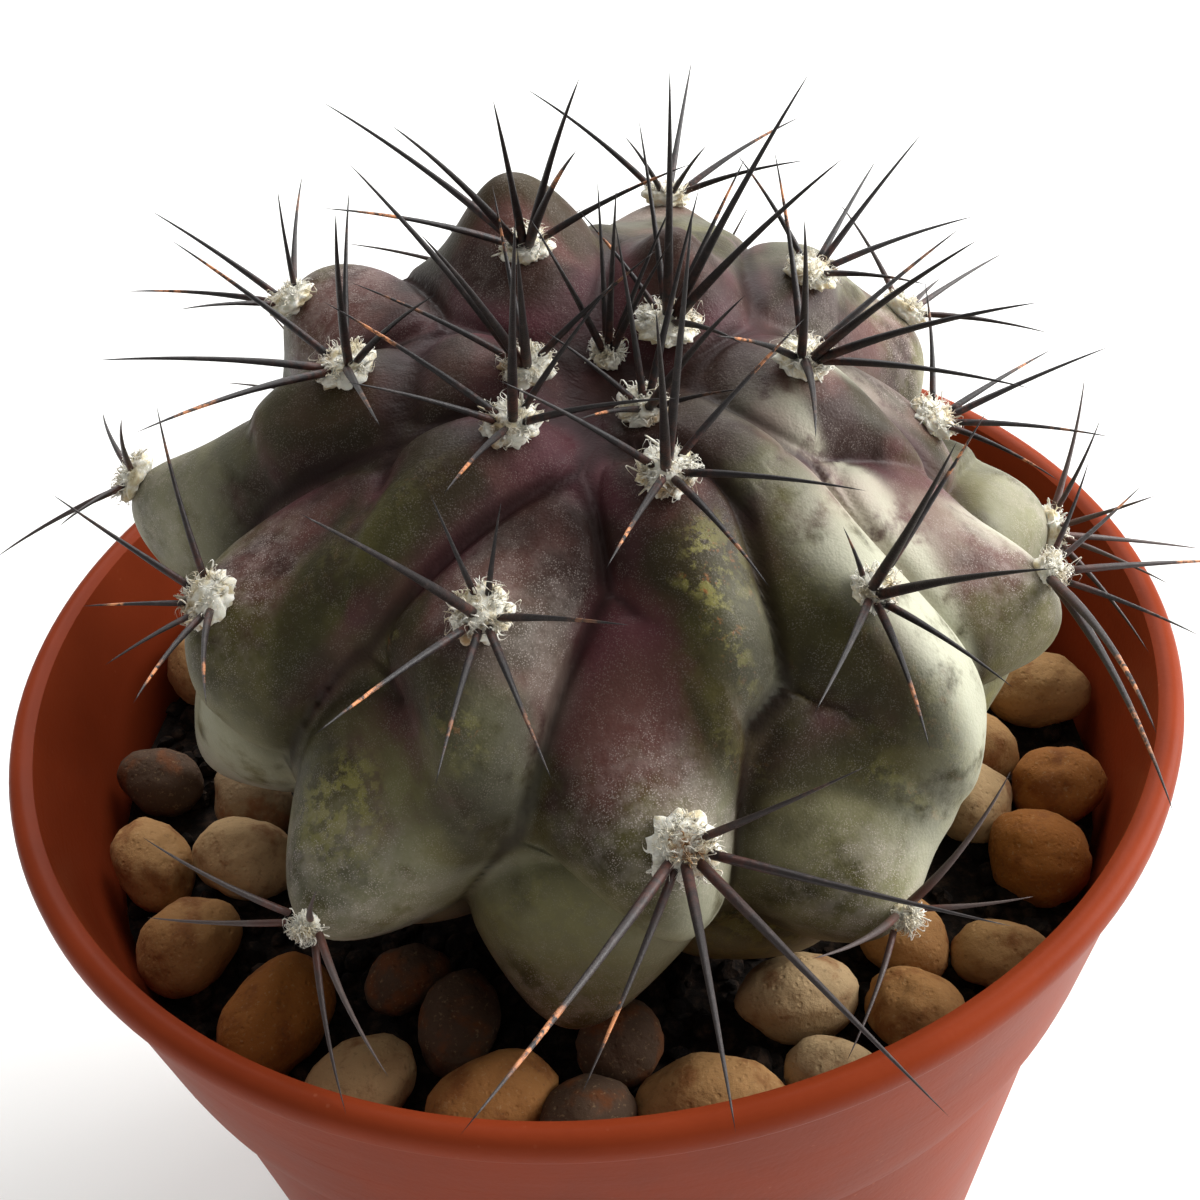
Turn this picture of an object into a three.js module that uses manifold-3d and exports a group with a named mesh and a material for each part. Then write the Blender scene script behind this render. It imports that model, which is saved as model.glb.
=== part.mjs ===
// A potted copiapoa griseoviolacea: a small globular cactus in a round nursery pot,
// on dark soil under tan gravel.
// Millimetres, +Z up, the origin on the standing surface at the centre of the pot's base.
// Azimuths are measured at the pot's axis from the front (-Y) towards +X.

import * as THREE from "three";
import { mergeVertices } from "three/addons/utils/BufferGeometryUtils.js";
import Module from "manifold-3d";

const wasm = await Module();
wasm.setup();

// Driving dimensions of the pot
const POT_HEIGHT = 55;
const RIM_RADIUS = 32.5;
const COLLAR_DROP = 13.9; // from the top of the rim to the collar's lower edge
const COLLAR_FOOT_RADIUS = 29.6;
const WALL_TOP_RADIUS = 28.5;
const BASE_RADIUS = 22.4;
const WALL = 1.1;
const FLOOR = 1.6;
const RIM_BEAD = 1.7; // height of the rolled rim
const RIM_ROLL = 0.5; // how far the rolled rim stands proud of the collar, and the size of its rounding
const SHOULDER = 1.2; // how far below the collar's edge the inside starts to widen
const FOOT_ROUND = 0.6; // at the edge of the base
const DRAIN_HOLES = 6;
const DRAIN_RADIUS = 2.4;
const DRAIN_CIRCLE = 15;
const DRAIN_SIDES = 14;
const POT_SIDES = 48;
const FILL_SIDES = 30;

// Driving dimensions of the fill
const SOIL_TOP = 44.8;
const GAP = 0.32; // clearance between pieces that lie against each other
const BED_THICKNESS = 0.6; // the lowest layer of gravel
const BED_INNER = 9; // radius of the hole in it, within the stem
const BED_CLEARANCE = 0.15; // more than the gap, for the wall's facets
const BED_ROOM = 6; // height that the stones may fill
const STONE_CENTRE = 46.7;
const STONE_LENGTH = 5.8;
const STONE_WIDTH = 4.7;
const STONE_BURIED = 0.35; // a stone that lies this deep in the stem is left out
const STONE_RINGS = [
  { radius: 26.2, count: 20, from: 104, to: 244 },
  { radius: 21.3, count: 17, from: 62, to: 296 },
];

// Driving dimensions of the plant, in its own upright frame
const STEM_RADIUS = 25.3;
const EQUATOR = 62; // height of the widest ring
const CROWN_RISE = 14.8;
const UNDERSIDE_DROP = 17.8;
const CROWN_DIP = 2;
const CROWN_DIP_RADIUS = 4;
const ROOT_LENGTH = 13;
const ROOT_FROM = 150; // degrees from the crown where the stem becomes the root
const LEAN_PIVOT = 46; // height of the soil line, about which the plant leans
const LEAN_FORWARD = 11;
const LEAN_RIGHT = 5;
const STEM_OFFSET = [0.4, 1.1];

// The spiral that the tubercles grow on: one every DIVERGENCE degrees, each further from the crown
const TUBERCLES = 35;
const DIVERGENCE = 64.6;
const FIRST_AZIMUTH = 47;
const SPIRAL_RADIUS = 22; // where a step along the spiral is measured
const CROWN_ANGLE = (n) => 3.5 + 2.5 * n + 0.058 * n * n;
const CHIN_DRAG = 0.2; // of a tubercle's half width, down its side
const CHIN_RADIUS = 0.8; // in half widths
const NOSE_RISE = 0.08; // of a tubercle's half width, under the areole
const NOSE_RADIUS = 0.35; // in half widths
const KEEL_RISE = 0.05; // of a tubercle's half width, from the areole down to the tip
const KEEL_WIDTH = 0.35; // in half widths
const WOBBLE_TURN = 6; // degrees that a tubercle strays where it isn't placed by hand
const WOBBLE_STEP = 0.3;
const STEM_DETAIL = 13;
const BARE_TO = 135; // degrees from the crown where the tubercles start to fade out
const BARE_FADE = 20;

// How the surface is shared out: each tubercle's body reaches further towards the crown than across.
const BODY_STRETCH = 0.45; // weight of a length towards the crown against one across
const BODY_RISE = (n) => Math.min(0.45, Math.max(-0.8, 0.095 * n - 1.1)); // from its areole, in half widths
const CONE_SHARE = (n) => Math.min(0.62, 0.08 + 0.026 * n); // old ones draw out to a tip
const CREASE_DEPTH = (n) => Math.min(0.6, 0.36 + 0.012 * n); // of a tubercle's half width
const CREASE_BLEND = 1.2; // per mm from a crease, how soon a body's own size counts alone
const CREASE_CORNER = 6; // how sharp the corner is where creases meet
const MERGE_STEP = 11; // tubercles this many steps apart run into each other at one end of their crease
const MERGE = [0.04, 0.55]; // how much shallower that crease is at its deep end and at its shallow end
const MERGE_FROM = -0.45; // half widths across the two bodies where it starts to fade
const MERGE_OVER = 0.9;

// Where a tubercle stands off the rule: degrees of azimuth and steps along the spiral
const SHIFTS = {
  0: [-12, 0.4], 1: [75, 0.1], 2: [-33, 0.55], 3: [15, -0.4], 4: [-5, -0.1], 5: [3.5, -0.6], 6: [20, 0.1],
  7: [-9, 3], 8: [0, -1.3], 9: [-12, 0.5], 10: [-2, 0.16], 11: [3, 0.17], 12: [0, 2], 13: [0, 1.5],
  14: [0, 1.5],
  15: [-4.9, 0.5], 16: [2.4, 0.4], 17: [6, -0.4], 18: [0, 1], 19: [0, 2], 20: [0, -0.1], 21: [0, 0.7],
  22: [-1, -0.5], 27: [0, -0.5],
};

// Where a tubercle's body lies off the rule: half widths towards the crown and towards rising azimuth
const BODY_SHIFTS = {
  1: [0.6, 0], 2: [-0.6, 0.6], 7: [0, 0.4], 9: [-0.1, 0], 10: [0.1, 0.05], 16: [0, -0.2], 21: [0.45, 0.05],
  22: [0.2, -0.15], 27: [0.2, 0],
};

// Bodies that hold more or less of the surface than their neighbours
const BODY_SHARES = { 1: -0.4, 2: 0.8, 8: 0.3 };

// Swellings and hollows of the whole stem: degrees from the crown, azimuth, rise and radius
const SWELLINGS = [
  [31, 197, 3.6, 3.6], [57, 215, 3.8, 5.2], [18, 156, 2.4, 2.2], [47, 102, -2.5, 6.3], [64, 106, -4.5, 4.5],
  [69, 244, -5.2, 5.5], [70, 257, 3.2, 5.9], [56, 203, -6, 5], [115, 61, -3, 8.8], [106, 351, 1.3, 5.3],
  [73, 99, 2.3, 4.5], [82, 322, 1.8, 4.5], [81, 29, 0.8, 4.5], [72, 268, -0.8, 4],
];

// Areoles: a wool pad with its spines, on each tubercle above the gravel
const AREOLES = 26;
const PAD_RADIUS = (n) => Math.min(2, 1.25 + 0.07 * n);
const PAD_HEIGHT = 0.9;
const PAD_SIDES = 7;
const PAD_LENGTH = 1.15; // towards the crown, against across
const SPINE_SEAT = 0.75; // how far out on the pad a level spine stands
const SPINE_FOOT = 0.6; // of the pad's height
const PAD_PROFILE = [[0, 0], [1, 0], [0.9, 0.5], [0.5, 0.95], [0, 1]]; // radius and height, of the pad's own
const SPINE_RADIUS = 0.42;
const SPINE_SINK = 0.45;
const SPINE_SWELL = 0.3; // of its radius, half way along
const SPINE_BEND = 0.035; // of the length, away from the stem's surface

// The usual spines: a ring of them and one in the middle
const RING_CLOCKS = [-105, -64, -25, 25, 64, 105];
const RING_TILT = 62;
const RING_LENGTH = 6.5;
const CENTRAL_TILT = 24;
const CENTRAL_LENGTH = 9;

// Spines of the areoles that show best, each as [clock, tilt, length]: the clock is the direction round the
// areole, 0 towards the crown and 90 towards rising azimuth; the tilt is from straight out.
const SPINES = {
  0: [[-164, 28, 14.5], [159, 50, 5], [-50, 45, 6], [-105, 55, 6], [60, 30, 10], [5, 20, 9]],
  1: [[0, 6, 10], [60, 24, 8.5], [-38, 22, 8.5], [120, 28, 7.5], [180, 20, 8], [-120, 28, 7.5]],
  2: [[-9, 14, 15.5], [-92, 18, 15.5], [-80, 31, 14.5], [87, 50, 6], [-52, 60, 8], [180, 45, 8],
    [130, 40, 9]],
  3: [[138, 24, 15.5], [102, 28, 14.5], [72, 31, 15], [-22, 50, 7.5], [-110, 55, 8], [180, 60, 8]],
  4: [[92, 14, 15.5], [-120, 62, 9], [-161, 50, 7.5], [61, 58, 9], [0, 50, 7], [140, 60, 8]],
  5: [[-134, 15, 15], [7, 8, 14], [137, 60, 9], [178, 62, 10], [-142, 62, 9], [-74, 50, 9], [63, 65, 8]],
  6: [[-45, 30, 13], [-104, 28, 14], [-118, 40, 14], [-134, 62, 10.5], [-70, 65, 12], [-30, 60, 7.5],
    [84, 60, 9.5],
    [150, 60, 9]],
  7: [[160, 60, 7.5], [-150, 62, 8], [95, 66, 6.5], [180, 38, 8.5], [-85, 66, 6]],
  8: [[27, 35, 13.5], [10, 48, 14.5], [3, 36, 14.5], [145, 60, 11.5], [96, 64, 9.5], [51, 42, 14.5],
    [-52, 62, 8.5]],
  9: [[38, 32, 13.5], [-151, 60, 10], [152, 58, 10.5], [122, 64, 10.5], [57, 68, 12], [16, 55, 8],
    [-90, 60, 8]],
  10: [[-134, 15, 14.5], [-166, 55, 9.5], [90, 50, 8.5], [-45, 38, 5], [0, 38, 4.5], [161, 60, 9],
    [133, 60, 10]],
  11: [[-63, 15, 15.5], [-131, 19, 15.5], [-158, 45, 8.5], [-132, 58, 9.5], [-103, 62, 9.5], [-16, 45, 2.8],
    [70, 60, 8]],
  12: [[155, 62, 8], [-155, 62, 8], [180, 40, 9], [95, 66, 7], [-100, 66, 7]],
  13: [[22, 60, 5.5], [-21, 60, 5.5], [-70, 70, 7], [100, 60, 9], [-130, 60, 9], [180, 45, 10]],
  14: [[90, 60, 5.5], [-30, 25, 5.5], [150, 60, 8], [180, 42, 9], [-115, 62, 8]],
  15: [[-159, 45, 4.5], [155, 50, 4.5], [112, 52, 7], [86, 62, 8.5], [-60, 62, 8], [-110, 60, 8]],
  16: [[60, 45, 9], [106, 66, 12.5], [140, 38, 16], [-173, 28, 15], [-124, 45, 16.5], [-146, 62, 10]],
  17: [[-169, 55, 6.5], [-79, 60, 16.5], [-96, 67, 15.5], [75, 60, 4.5], [108, 55, 5.5], [150, 60, 9]],
  18: [[160, 62, 8], [-155, 62, 8], [180, 40, 9], [90, 66, 7], [-95, 66, 7]],
  19: [[150, 62, 8], [-160, 62, 8], [180, 38, 9], [85, 66, 7], [-95, 66, 7]],
  20: [[-123, 75, 7.5], [22, 75, 6.5], [160, 60, 8], [80, 65, 5]],
  21: [[-59, 65, 7], [-103, 65, 6], [130, 60, 7], [78, 55, 9], [20, 65, 6]],
  22: [[9, 65, 11], [90, 60, 4.5], [-52, 66, 9.5], [-110, 60, 6]],
};

// Stones of the top dressing that show, each as [azimuth, radius, length, width, turn]
const STONES = [
  [-112, 26.6, 6, 4.6, 10], [-92, 26.4, 5.2, 4.2, 60], [-77, 26.6, 6.2, 4.4, 40], [-62, 26.3, 5.6, 5.2, 0],
  [-46, 25.2, 7.5, 5.5, 15], [-31, 26.2, 6, 4.6, 0], [-24, 21, 6, 4, 50], [-35, 19.6, 4.4, 3.6, 0],
  [-16, 25.2, 6.8, 5, 10], [-5, 25.8, 4.8, 4.6, 0], [-1, 21.6, 4.6, 4.4, 0], [9, 25.6, 7.4, 4.6, 5],
  [22, 26.6, 4.6, 3.8, 0], [24, 21.8, 6, 4.6, 20], [34, 26, 5.4, 4.2, -10], [42, 22.6, 4.8, 4.6, 0],
  [47, 27, 5, 4, 30], [63, 26.2, 5.6, 5.4, 0], [75, 26.6, 5.4, 4.6, 60], [91, 26.4, 5.6, 4.8, 90],
];

const DEGREE = Math.PI / 180;
const COLLAR_FOOT = POT_HEIGHT - COLLAR_DROP;
const WELD = 1e-3;
const Z_AXIS = new THREE.Vector3(0, 0, 1);

// A repeatable number from -1 to 1 for a place n and a use k.
function wobble(n, k) {
  const s = Math.sin(n * 12.9898 + k * 78.233) * 43758.5453;
  return 2 * (s - Math.floor(s)) - 1;
}

// A direction in plan at an azimuth.
function outward(azimuth) {
  return new THREE.Vector3(Math.sin(azimuth), -Math.cos(azimuth), 0);
}

// A closed geometry as a solid that can be joined and cut.
function solid(geometry, weld = 1e-4) {
  const bare = geometry.clone();
  bare.deleteAttribute("normal");
  bare.deleteAttribute("uv");
  const merged = mergeVertices(bare, weld);
  const corners = merged.index.array;
  const kept = [];
  for (let i = 0; i < corners.length; i += 3) {
    const [a, b, c] = [corners[i], corners[i + 1], corners[i + 2]];
    if (a !== b && b !== c && c !== a) kept.push(a, b, c);
  }
  return new wasm.Manifold(
    new wasm.Mesh({
      numProp: 3,
      vertProperties: new Float32Array(merged.attributes.position.array),
      triVerts: new Uint32Array(kept),
    }),
  );
}

// A solid's surface as a geometry.
function geometryOf(shape) {
  const mesh = shape.getMesh();
  const geometry = new THREE.BufferGeometry();
  geometry.setAttribute("position", new THREE.BufferAttribute(new Float32Array(mesh.vertProperties), 3));
  return geometry.setIndex(new THREE.BufferAttribute(new Uint32Array(mesh.triVerts), 1));
}

// A named mesh from a solid.
function piece(name, shape, material) {
  const geometry = geometryOf(shape);
  geometry.computeVertexNormals();
  const made = new THREE.Mesh(geometry, material);
  made.name = name;
  return made;
}

// The largest of the bodies that a join or cut leaves, with corners closer than a hair welded.
function largest(shape) {
  const welded = solid(geometryOf(shape), WELD);
  return welded.decompose().reduce((best, part) => (part.volume() > best.volume() ? part : best));
}

// A turned solid from a profile of [radius, height] points in the order that faces it outwards.
function turned(profile, sides) {
  const points = profile.map(([r, z]) => new THREE.Vector2(r, z));
  return new THREE.LatheGeometry(points, sides).rotateX(Math.PI / 2);
}

// The outer face of a tubercle-bearing stem before its creases: a point, its outward normal and
// the way to the crown.
function skin(angle, azimuth) {
  const rise = angle < Math.PI / 2 ? CROWN_RISE : UNDERSIDE_DROP;
  const radius = STEM_RADIUS * Math.sin(angle);
  const dip = CROWN_DIP * Math.exp(-((radius / CROWN_DIP_RADIUS) ** 2)) * (angle < Math.PI / 2 ? 1 : 0);
  const past = Math.max(0, (angle / DEGREE - ROOT_FROM) / (180 - ROOT_FROM));
  const height = EQUATOR + rise * Math.cos(angle) - dip - ROOT_LENGTH * past * past;
  const out = outward(azimuth);
  const normal = out.clone().multiplyScalar(Math.sin(angle) / STEM_RADIUS);
  normal.addScaledVector(Z_AXIS, Math.cos(angle) / rise).normalize();
  const up = out.clone().multiplyScalar(-Math.cos(angle) * STEM_RADIUS);
  up.addScaledVector(Z_AXIS, Math.sin(angle) * rise).normalize();
  return { point: out.multiplyScalar(radius).setZ(height), normal, up };
}

// Half the width of the tubercle at step n of the spiral, from the share of the surface that falls to it.
function halfWidth(n) {
  const ring = 2 * Math.PI * STEM_RADIUS * Math.sin(CROWN_ANGLE(n) * DEGREE);
  const step = (CROWN_ANGLE(n + 0.5) - CROWN_ANGLE(n - 0.5)) * DEGREE * SPIRAL_RADIUS;
  return 0.5 * Math.sqrt(Math.max(ring, 12) * step);
}

// The tubercles: the place of each areole on the skin, and the middle of the body that carries it.
const tubercles = Array.from({ length: TUBERCLES }, (_, n) => {
  const [turn, steps] = SHIFTS[n] ?? [WOBBLE_TURN * wobble(n, 1), WOBBLE_STEP * wobble(n, 2)];
  const width = halfWidth(n);
  const angle = CROWN_ANGLE(n + steps) * DEGREE - (CHIN_DRAG * width) / SPIRAL_RADIUS;
  const azimuth = (FIRST_AZIMUTH + DIVERGENCE * n + turn) * DEGREE;
  const { point: seat, normal, up } = skin(angle, azimuth);
  const side = new THREE.Vector3().crossVectors(up, normal);
  const [rise, shift] = BODY_SHIFTS[n] ?? [0, 0];
  const middle = seat.clone().addScaledVector(up, width * (BODY_RISE(n) + rise));
  middle.addScaledVector(side, width * shift);
  const share = (BODY_SHARES[n] ?? 0) * width * width;
  return { n, width, angle, azimuth, seat, normal, up, side, middle, share };
});

// How far a point is from the middle of a body, squared, as the surface is shared out.
function claim(tubercle, point) {
  const gap = point.clone().sub(tubercle.middle);
  const along = BODY_STRETCH * gap.dot(tubercle.up);
  return along ** 2 + gap.dot(tubercle.side) ** 2 + gap.dot(tubercle.normal) ** 2;
}

const between = tubercles.map((one) =>
  tubercles.map((other) => (Math.sqrt(claim(one, other.middle)) + Math.sqrt(claim(other, one.middle))) / 2),
);

// A share that eases in from 0 to 1.
function ease(share) {
  const held = Math.min(1, Math.max(0, share));
  return held * held * (3 - 2 * held);
}

const swellings = SWELLINGS.map(([angle, azimuth, rise, radius]) => {
  return { seat: skin(angle * DEGREE, azimuth * DEGREE).point, rise, radius };
});

// How much the crease between two bodies fades at a point, as a length to add to the way to it.
function shallow(one, other, point) {
  if (Math.abs(other.n - one.n) !== MERGE_STEP) return 0;
  const [a, b] = [one, other].map((body) => point.clone().sub(body.middle).dot(body.side) / body.width);
  const fade = ease(((a + b) / 2 - MERGE_FROM) / MERGE_OVER);
  return (MERGE[0] + (MERGE[1] - MERGE[0]) * fade) * ((one.width + other.width) / 2);
}

// The stem's surface: domed over each tubercle's body, creased along the borders between the bodies.
function stemPoint(angle, azimuth, grow = 0) {
  const { point, normal, up } = skin(angle, azimuth);
  const claims = tubercles.map((tubercle) => claim(tubercle, point) - tubercle.share);
  const near = tubercles[claims.indexOf(Math.min(...claims))];
  const apart = between[near.n];
  const borders = claims.map((own, n) => (n === near.n ? 0 : (own - claims[near.n]) / (2 * apart[n])));
  const weights = borders.map((border, n) => Math.exp(-CREASE_BLEND * border) / tubercles[n].width);
  const whole = weights.reduce((total, weight) => total + weight);
  const blend = (value) => weights.reduce((total, weight, n) => total + weight * value(n), 0) / whole;
  const width = blend((n) => tubercles[n].width);
  const sharp = CREASE_CORNER / width;
  const others = tubercles.filter((tubercle) => tubercle !== near);
  const sum = others.reduce((total, other) => {
    return total + Math.exp(-sharp * (borders[other.n] + shallow(near, other, point)));
  }, 0);
  const inside = Math.min(1, Math.max(0, -Math.log(sum) / sharp / width));
  const cone = blend(CONE_SHARE);
  const dome = (1 - cone) * Math.sqrt(1 - (1 - inside) ** 2) + cone * inside;
  const gap = point.clone().sub(near.seat);
  const away = gap.length() / near.width;
  const across = gap.dot(near.side) / near.width;
  const below = -gap.dot(near.up) / near.width;
  const nose = NOSE_RISE * Math.exp(-((away / NOSE_RADIUS) ** 2));
  const keel = KEEL_RISE * Math.exp(-((across / KEEL_WIDTH) ** 2)) * ease(2 * below) * ease(3 * inside);
  const bare = 1 - Math.min(1, Math.max(0, (angle / DEGREE - BARE_TO) / BARE_FADE));
  const crease = blend((n) => CREASE_DEPTH(n) * tubercles[n].width) * (1 - dome);
  const relief = bare * ((nose + keel) * near.width - crease);
  const drag = bare * near.width * CHIN_DRAG * Math.exp(-((away / CHIN_RADIUS) ** 2));
  const swell = swellings.reduce(
    (total, { seat, rise, radius }) => total + rise * Math.exp(-point.distanceToSquared(seat) / radius ** 2),
    0,
  );
  return point.addScaledVector(normal, relief + swell + grow).addScaledVector(up, -drag);
}

// The plant's own frame leans about the soil line and stands a little off the pot's axis.
const lean = new THREE.Matrix4()
  .makeTranslation(STEM_OFFSET[0], STEM_OFFSET[1], LEAN_PIVOT)
  .multiply(new THREE.Matrix4().makeRotationX(LEAN_FORWARD * DEGREE))
  .multiply(new THREE.Matrix4().makeRotationY(LEAN_RIGHT * DEGREE))
  .multiply(new THREE.Matrix4().makeTranslation(0, 0, -LEAN_PIVOT));

// The stem with its root, grown outwards by a clearance where other pieces are cut to fit it.
function stemSolid(grow) {
  const ball = new THREE.IcosahedronGeometry(1, STEM_DETAIL);
  ball.deleteAttribute("normal");
  ball.deleteAttribute("uv");
  const geometry = mergeVertices(ball, 1e-5);
  const place = geometry.attributes.position;
  for (let i = 0; i < place.count; i++) {
    const ray = new THREE.Vector3().fromBufferAttribute(place, i).normalize();
    const at = stemPoint(Math.acos(ray.z), Math.atan2(ray.x, -ray.y), grow);
    place.setXYZ(i, at.x, at.y, at.z);
  }
  return solid(geometry.applyMatrix4(lean));
}

// The spines of the areole at step n: the ones read off the plant, or the usual ring with one in
// the middle.
function spinesOf(n) {
  if (SPINES[n]) return SPINES[n];
  const ring = RING_CLOCKS.map((clock, k) => [
    clock + 9 * wobble(n, 10 + k),
    RING_TILT + 6 * wobble(n, 20 + k),
    RING_LENGTH + 1.2 * wobble(n, 30 + k),
  ]);
  const tilt = CENTRAL_TILT + 8 * wobble(n, 41);
  return [...ring, [180 + 50 * wobble(n, 40), tilt, CENTRAL_LENGTH + wobble(n, 42)]];
}

// One spine: a three-sided needle from a point, in a direction, bowed a little towards another.
function spine(from, direction, bow, length) {
  const whole = length + SPINE_SINK;
  const needle = new THREE.ConeGeometry(SPINE_RADIUS, whole, 3, 2).translate(0, whole / 2, 0);
  const place = needle.attributes.position;
  for (let i = 0; i < place.count; i++) {
    const t = place.getY(i) / whole;
    const swell = 1 + SPINE_SWELL * 4 * t * (1 - t);
    place.setX(i, place.getX(i) * swell);
    place.setZ(i, place.getZ(i) * swell);
  }
  const turn = new THREE.Quaternion().setFromUnitVectors(new THREE.Vector3(0, 1, 0), direction);
  needle.applyQuaternion(turn);
  for (let i = 0; i < place.count; i++) {
    const at = new THREE.Vector3().fromBufferAttribute(place, i);
    const t = at.dot(direction) / whole;
    at.addScaledVector(bow, SPINE_BEND * length * 4 * t * (1 - t));
    place.setXYZ(i, at.x, at.y, at.z);
  }
  const root = from.clone().addScaledVector(direction, -SPINE_SINK);
  return solid(needle.translate(root.x, root.y, root.z));
}

// The wool pad and spines of one tubercle, cut clear of the stem.
function areole(tubercle, stemRoom) {
  const { n, angle, azimuth } = tubercle;
  const seat = stemPoint(angle, azimuth).applyMatrix4(lean);
  const turn = new THREE.Matrix4().extractRotation(lean);
  const ways = [tubercle.normal, tubercle.up, tubercle.side];
  const [normal, up, side] = ways.map((way) => way.clone().applyMatrix4(turn));
  const frame = new THREE.Matrix4().makeBasis(side, up, normal);
  const size = PAD_RADIUS(n);
  const pad = turned(PAD_PROFILE, PAD_SIDES).scale(size, size * PAD_LENGTH, PAD_HEIGHT).applyMatrix4(frame);
  const foot = seat.clone().addScaledVector(normal, GAP);
  let shape = solid(pad.translate(foot.x, foot.y, foot.z));
  const root = foot.clone().addScaledVector(normal, PAD_HEIGHT * SPINE_FOOT);
  for (const [clock, tilt, length] of spinesOf(n)) {
    const flat = up.clone().multiplyScalar(Math.cos(clock * DEGREE));
    flat.addScaledVector(side, Math.sin(clock * DEGREE));
    const direction = normal.clone().multiplyScalar(Math.cos(tilt * DEGREE));
    direction.addScaledVector(flat, Math.sin(tilt * DEGREE)).normalize();
    const bow = normal.clone().addScaledVector(direction, -normal.dot(direction));
    const from = root.clone().addScaledVector(flat, size * SPINE_SEAT * Math.sin(tilt * DEGREE));
    shape = shape.add(spine(from, direction, bow, length));
  }
  return largest(shape.intersect(stemRoom).volume() > 0 ? shape.subtract(stemRoom) : shape);
}

// One stone: a rounded lump with a few flats.
function stone(x, y, z, length, width, turn, mark) {
  const lump = new THREE.SphereGeometry(1, 6, 4);
  const place = lump.attributes.position;
  for (let i = 0; i < place.count; i++) {
    const at = new THREE.Vector3().fromBufferAttribute(place, i);
    const swell = 1 + 0.09 * Math.sin(2.3 * at.x + mark) + 0.08 * Math.sin(2.9 * at.y + 1.7 * mark);
    place.setXYZ(i, at.x * swell, at.y * swell, at.z * swell);
  }
  lump.scale(length / 2, width / 2, 0.37 * width + 0.09 * length);
  lump.rotateX(0.2 * wobble(mark, 3)).rotateZ(turn * DEGREE);
  return solid(lump.translate(x, y, z));
}

// The stones of the top dressing: the ones that show, then rings of the same kind where nothing
// tells them apart.
function stonesOf() {
  const list = STONES.map(([azimuth, radius, length, width, turn]) => {
    return [azimuth, radius, length, width, turn - azimuth];
  });
  STONE_RINGS.forEach(({ radius, count, from, to }, ring) => {
    for (let k = 0; k < count; k++) {
      const mark = 100 * (ring + 1) + k;
      const azimuth = from + ((to - from) * (k + 0.5 + 0.2 * wobble(mark, 4))) / count;
      const length = STONE_LENGTH + wobble(mark, 6);
      const width = STONE_WIDTH + 0.6 * wobble(mark, 7);
      list.push([azimuth, radius + 0.7 * wobble(mark, 5), length, width, 180 * wobble(mark, 8)]);
    }
  });
  return list;
}

// The pot's inner radius at a height.
function innerRadius(z) {
  if (z > COLLAR_FOOT) {
    const share = (z - COLLAR_FOOT) / COLLAR_DROP;
    return COLLAR_FOOT_RADIUS - WALL + share * (RIM_RADIUS - COLLAR_FOOT_RADIUS - 0.6 * RIM_ROLL);
  }
  return BASE_RADIUS - WALL + (z / (COLLAR_FOOT - SHOULDER)) * (WALL_TOP_RADIUS - BASE_RADIUS);
}

function buildPot() {
  const bead = POT_HEIGHT - RIM_BEAD;
  const half = RIM_ROLL / 2;
  const profile = [
    [0, 0], [BASE_RADIUS - FOOT_ROUND, 0], [BASE_RADIUS, FOOT_ROUND], [WALL_TOP_RADIUS, COLLAR_FOOT - 0.9],
    [COLLAR_FOOT_RADIUS, COLLAR_FOOT], [RIM_RADIUS - RIM_ROLL, bead], [RIM_RADIUS, bead + 0.4],
    [RIM_RADIUS - half, POT_HEIGHT - half], [RIM_RADIUS - 0.7, POT_HEIGHT],
    [innerRadius(POT_HEIGHT), POT_HEIGHT - RIM_ROLL], [innerRadius(COLLAR_FOOT + 0.5), COLLAR_FOOT + 0.5],
    [innerRadius(COLLAR_FOOT - SHOULDER), COLLAR_FOOT - SHOULDER],
    [innerRadius(FLOOR) - 0.4, FLOOR],
    [0, FLOOR],
  ];
  let shape = solid(turned(profile, POT_SIDES));
  for (let k = 0; k < DRAIN_HOLES; k++) {
    const at = outward((k * 360 * DEGREE) / DRAIN_HOLES).multiplyScalar(DRAIN_CIRCLE);
    const hole = new THREE.CylinderGeometry(DRAIN_RADIUS, DRAIN_RADIUS, 3 * FLOOR, DRAIN_SIDES);
    hole.rotateX(Math.PI / 2);
    shape = shape.subtract(solid(hole.translate(at.x, at.y, FLOOR / 2)));
  }
  return shape;
}

function buildSoil(stemRoom) {
  const low = FLOOR + GAP;
  const profile = [
    [0, low], [innerRadius(low) - GAP - 0.5, low],
    [innerRadius(COLLAR_FOOT - SHOULDER) - GAP, COLLAR_FOOT - SHOULDER],
    [innerRadius(COLLAR_FOOT + 0.5) - GAP, COLLAR_FOOT + 0.5],
    [innerRadius(SOIL_TOP) - GAP - 0.1, SOIL_TOP], [0, SOIL_TOP],
  ];
  return largest(solid(turned(profile, FILL_SIDES)).subtract(stemRoom));
}

function buildGravel(stemRoom) {
  const low = SOIL_TOP + GAP;
  const high = low + BED_THICKNESS;
  const outer = innerRadius(low) - GAP - BED_CLEARANCE;
  const bed = [[BED_INNER, low], [outer, low], [outer, high], [BED_INNER, high], [BED_INNER, low]];
  let shape = solid(turned(bed, FILL_SIDES));
  stonesOf().forEach(([azimuth, radius, length, width, turn], k) => {
    const at = outward(azimuth * DEGREE).multiplyScalar(radius);
    const lump = stone(at.x, at.y, STONE_CENTRE + 0.35 * wobble(k, 9), length, width, turn, k + 1);
    if (lump.intersect(stemRoom).volume() < STONE_BURIED * lump.volume()) shape = shape.add(lump);
  });
  const ceiling = SOIL_TOP + BED_ROOM;
  const room = [
    [0, low], [outer, low], [innerRadius(ceiling) - GAP - BED_CLEARANCE, ceiling], [0, ceiling],
  ];
  return largest(shape.intersect(solid(turned(room, FILL_SIDES))).subtract(stemRoom));
}

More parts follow.
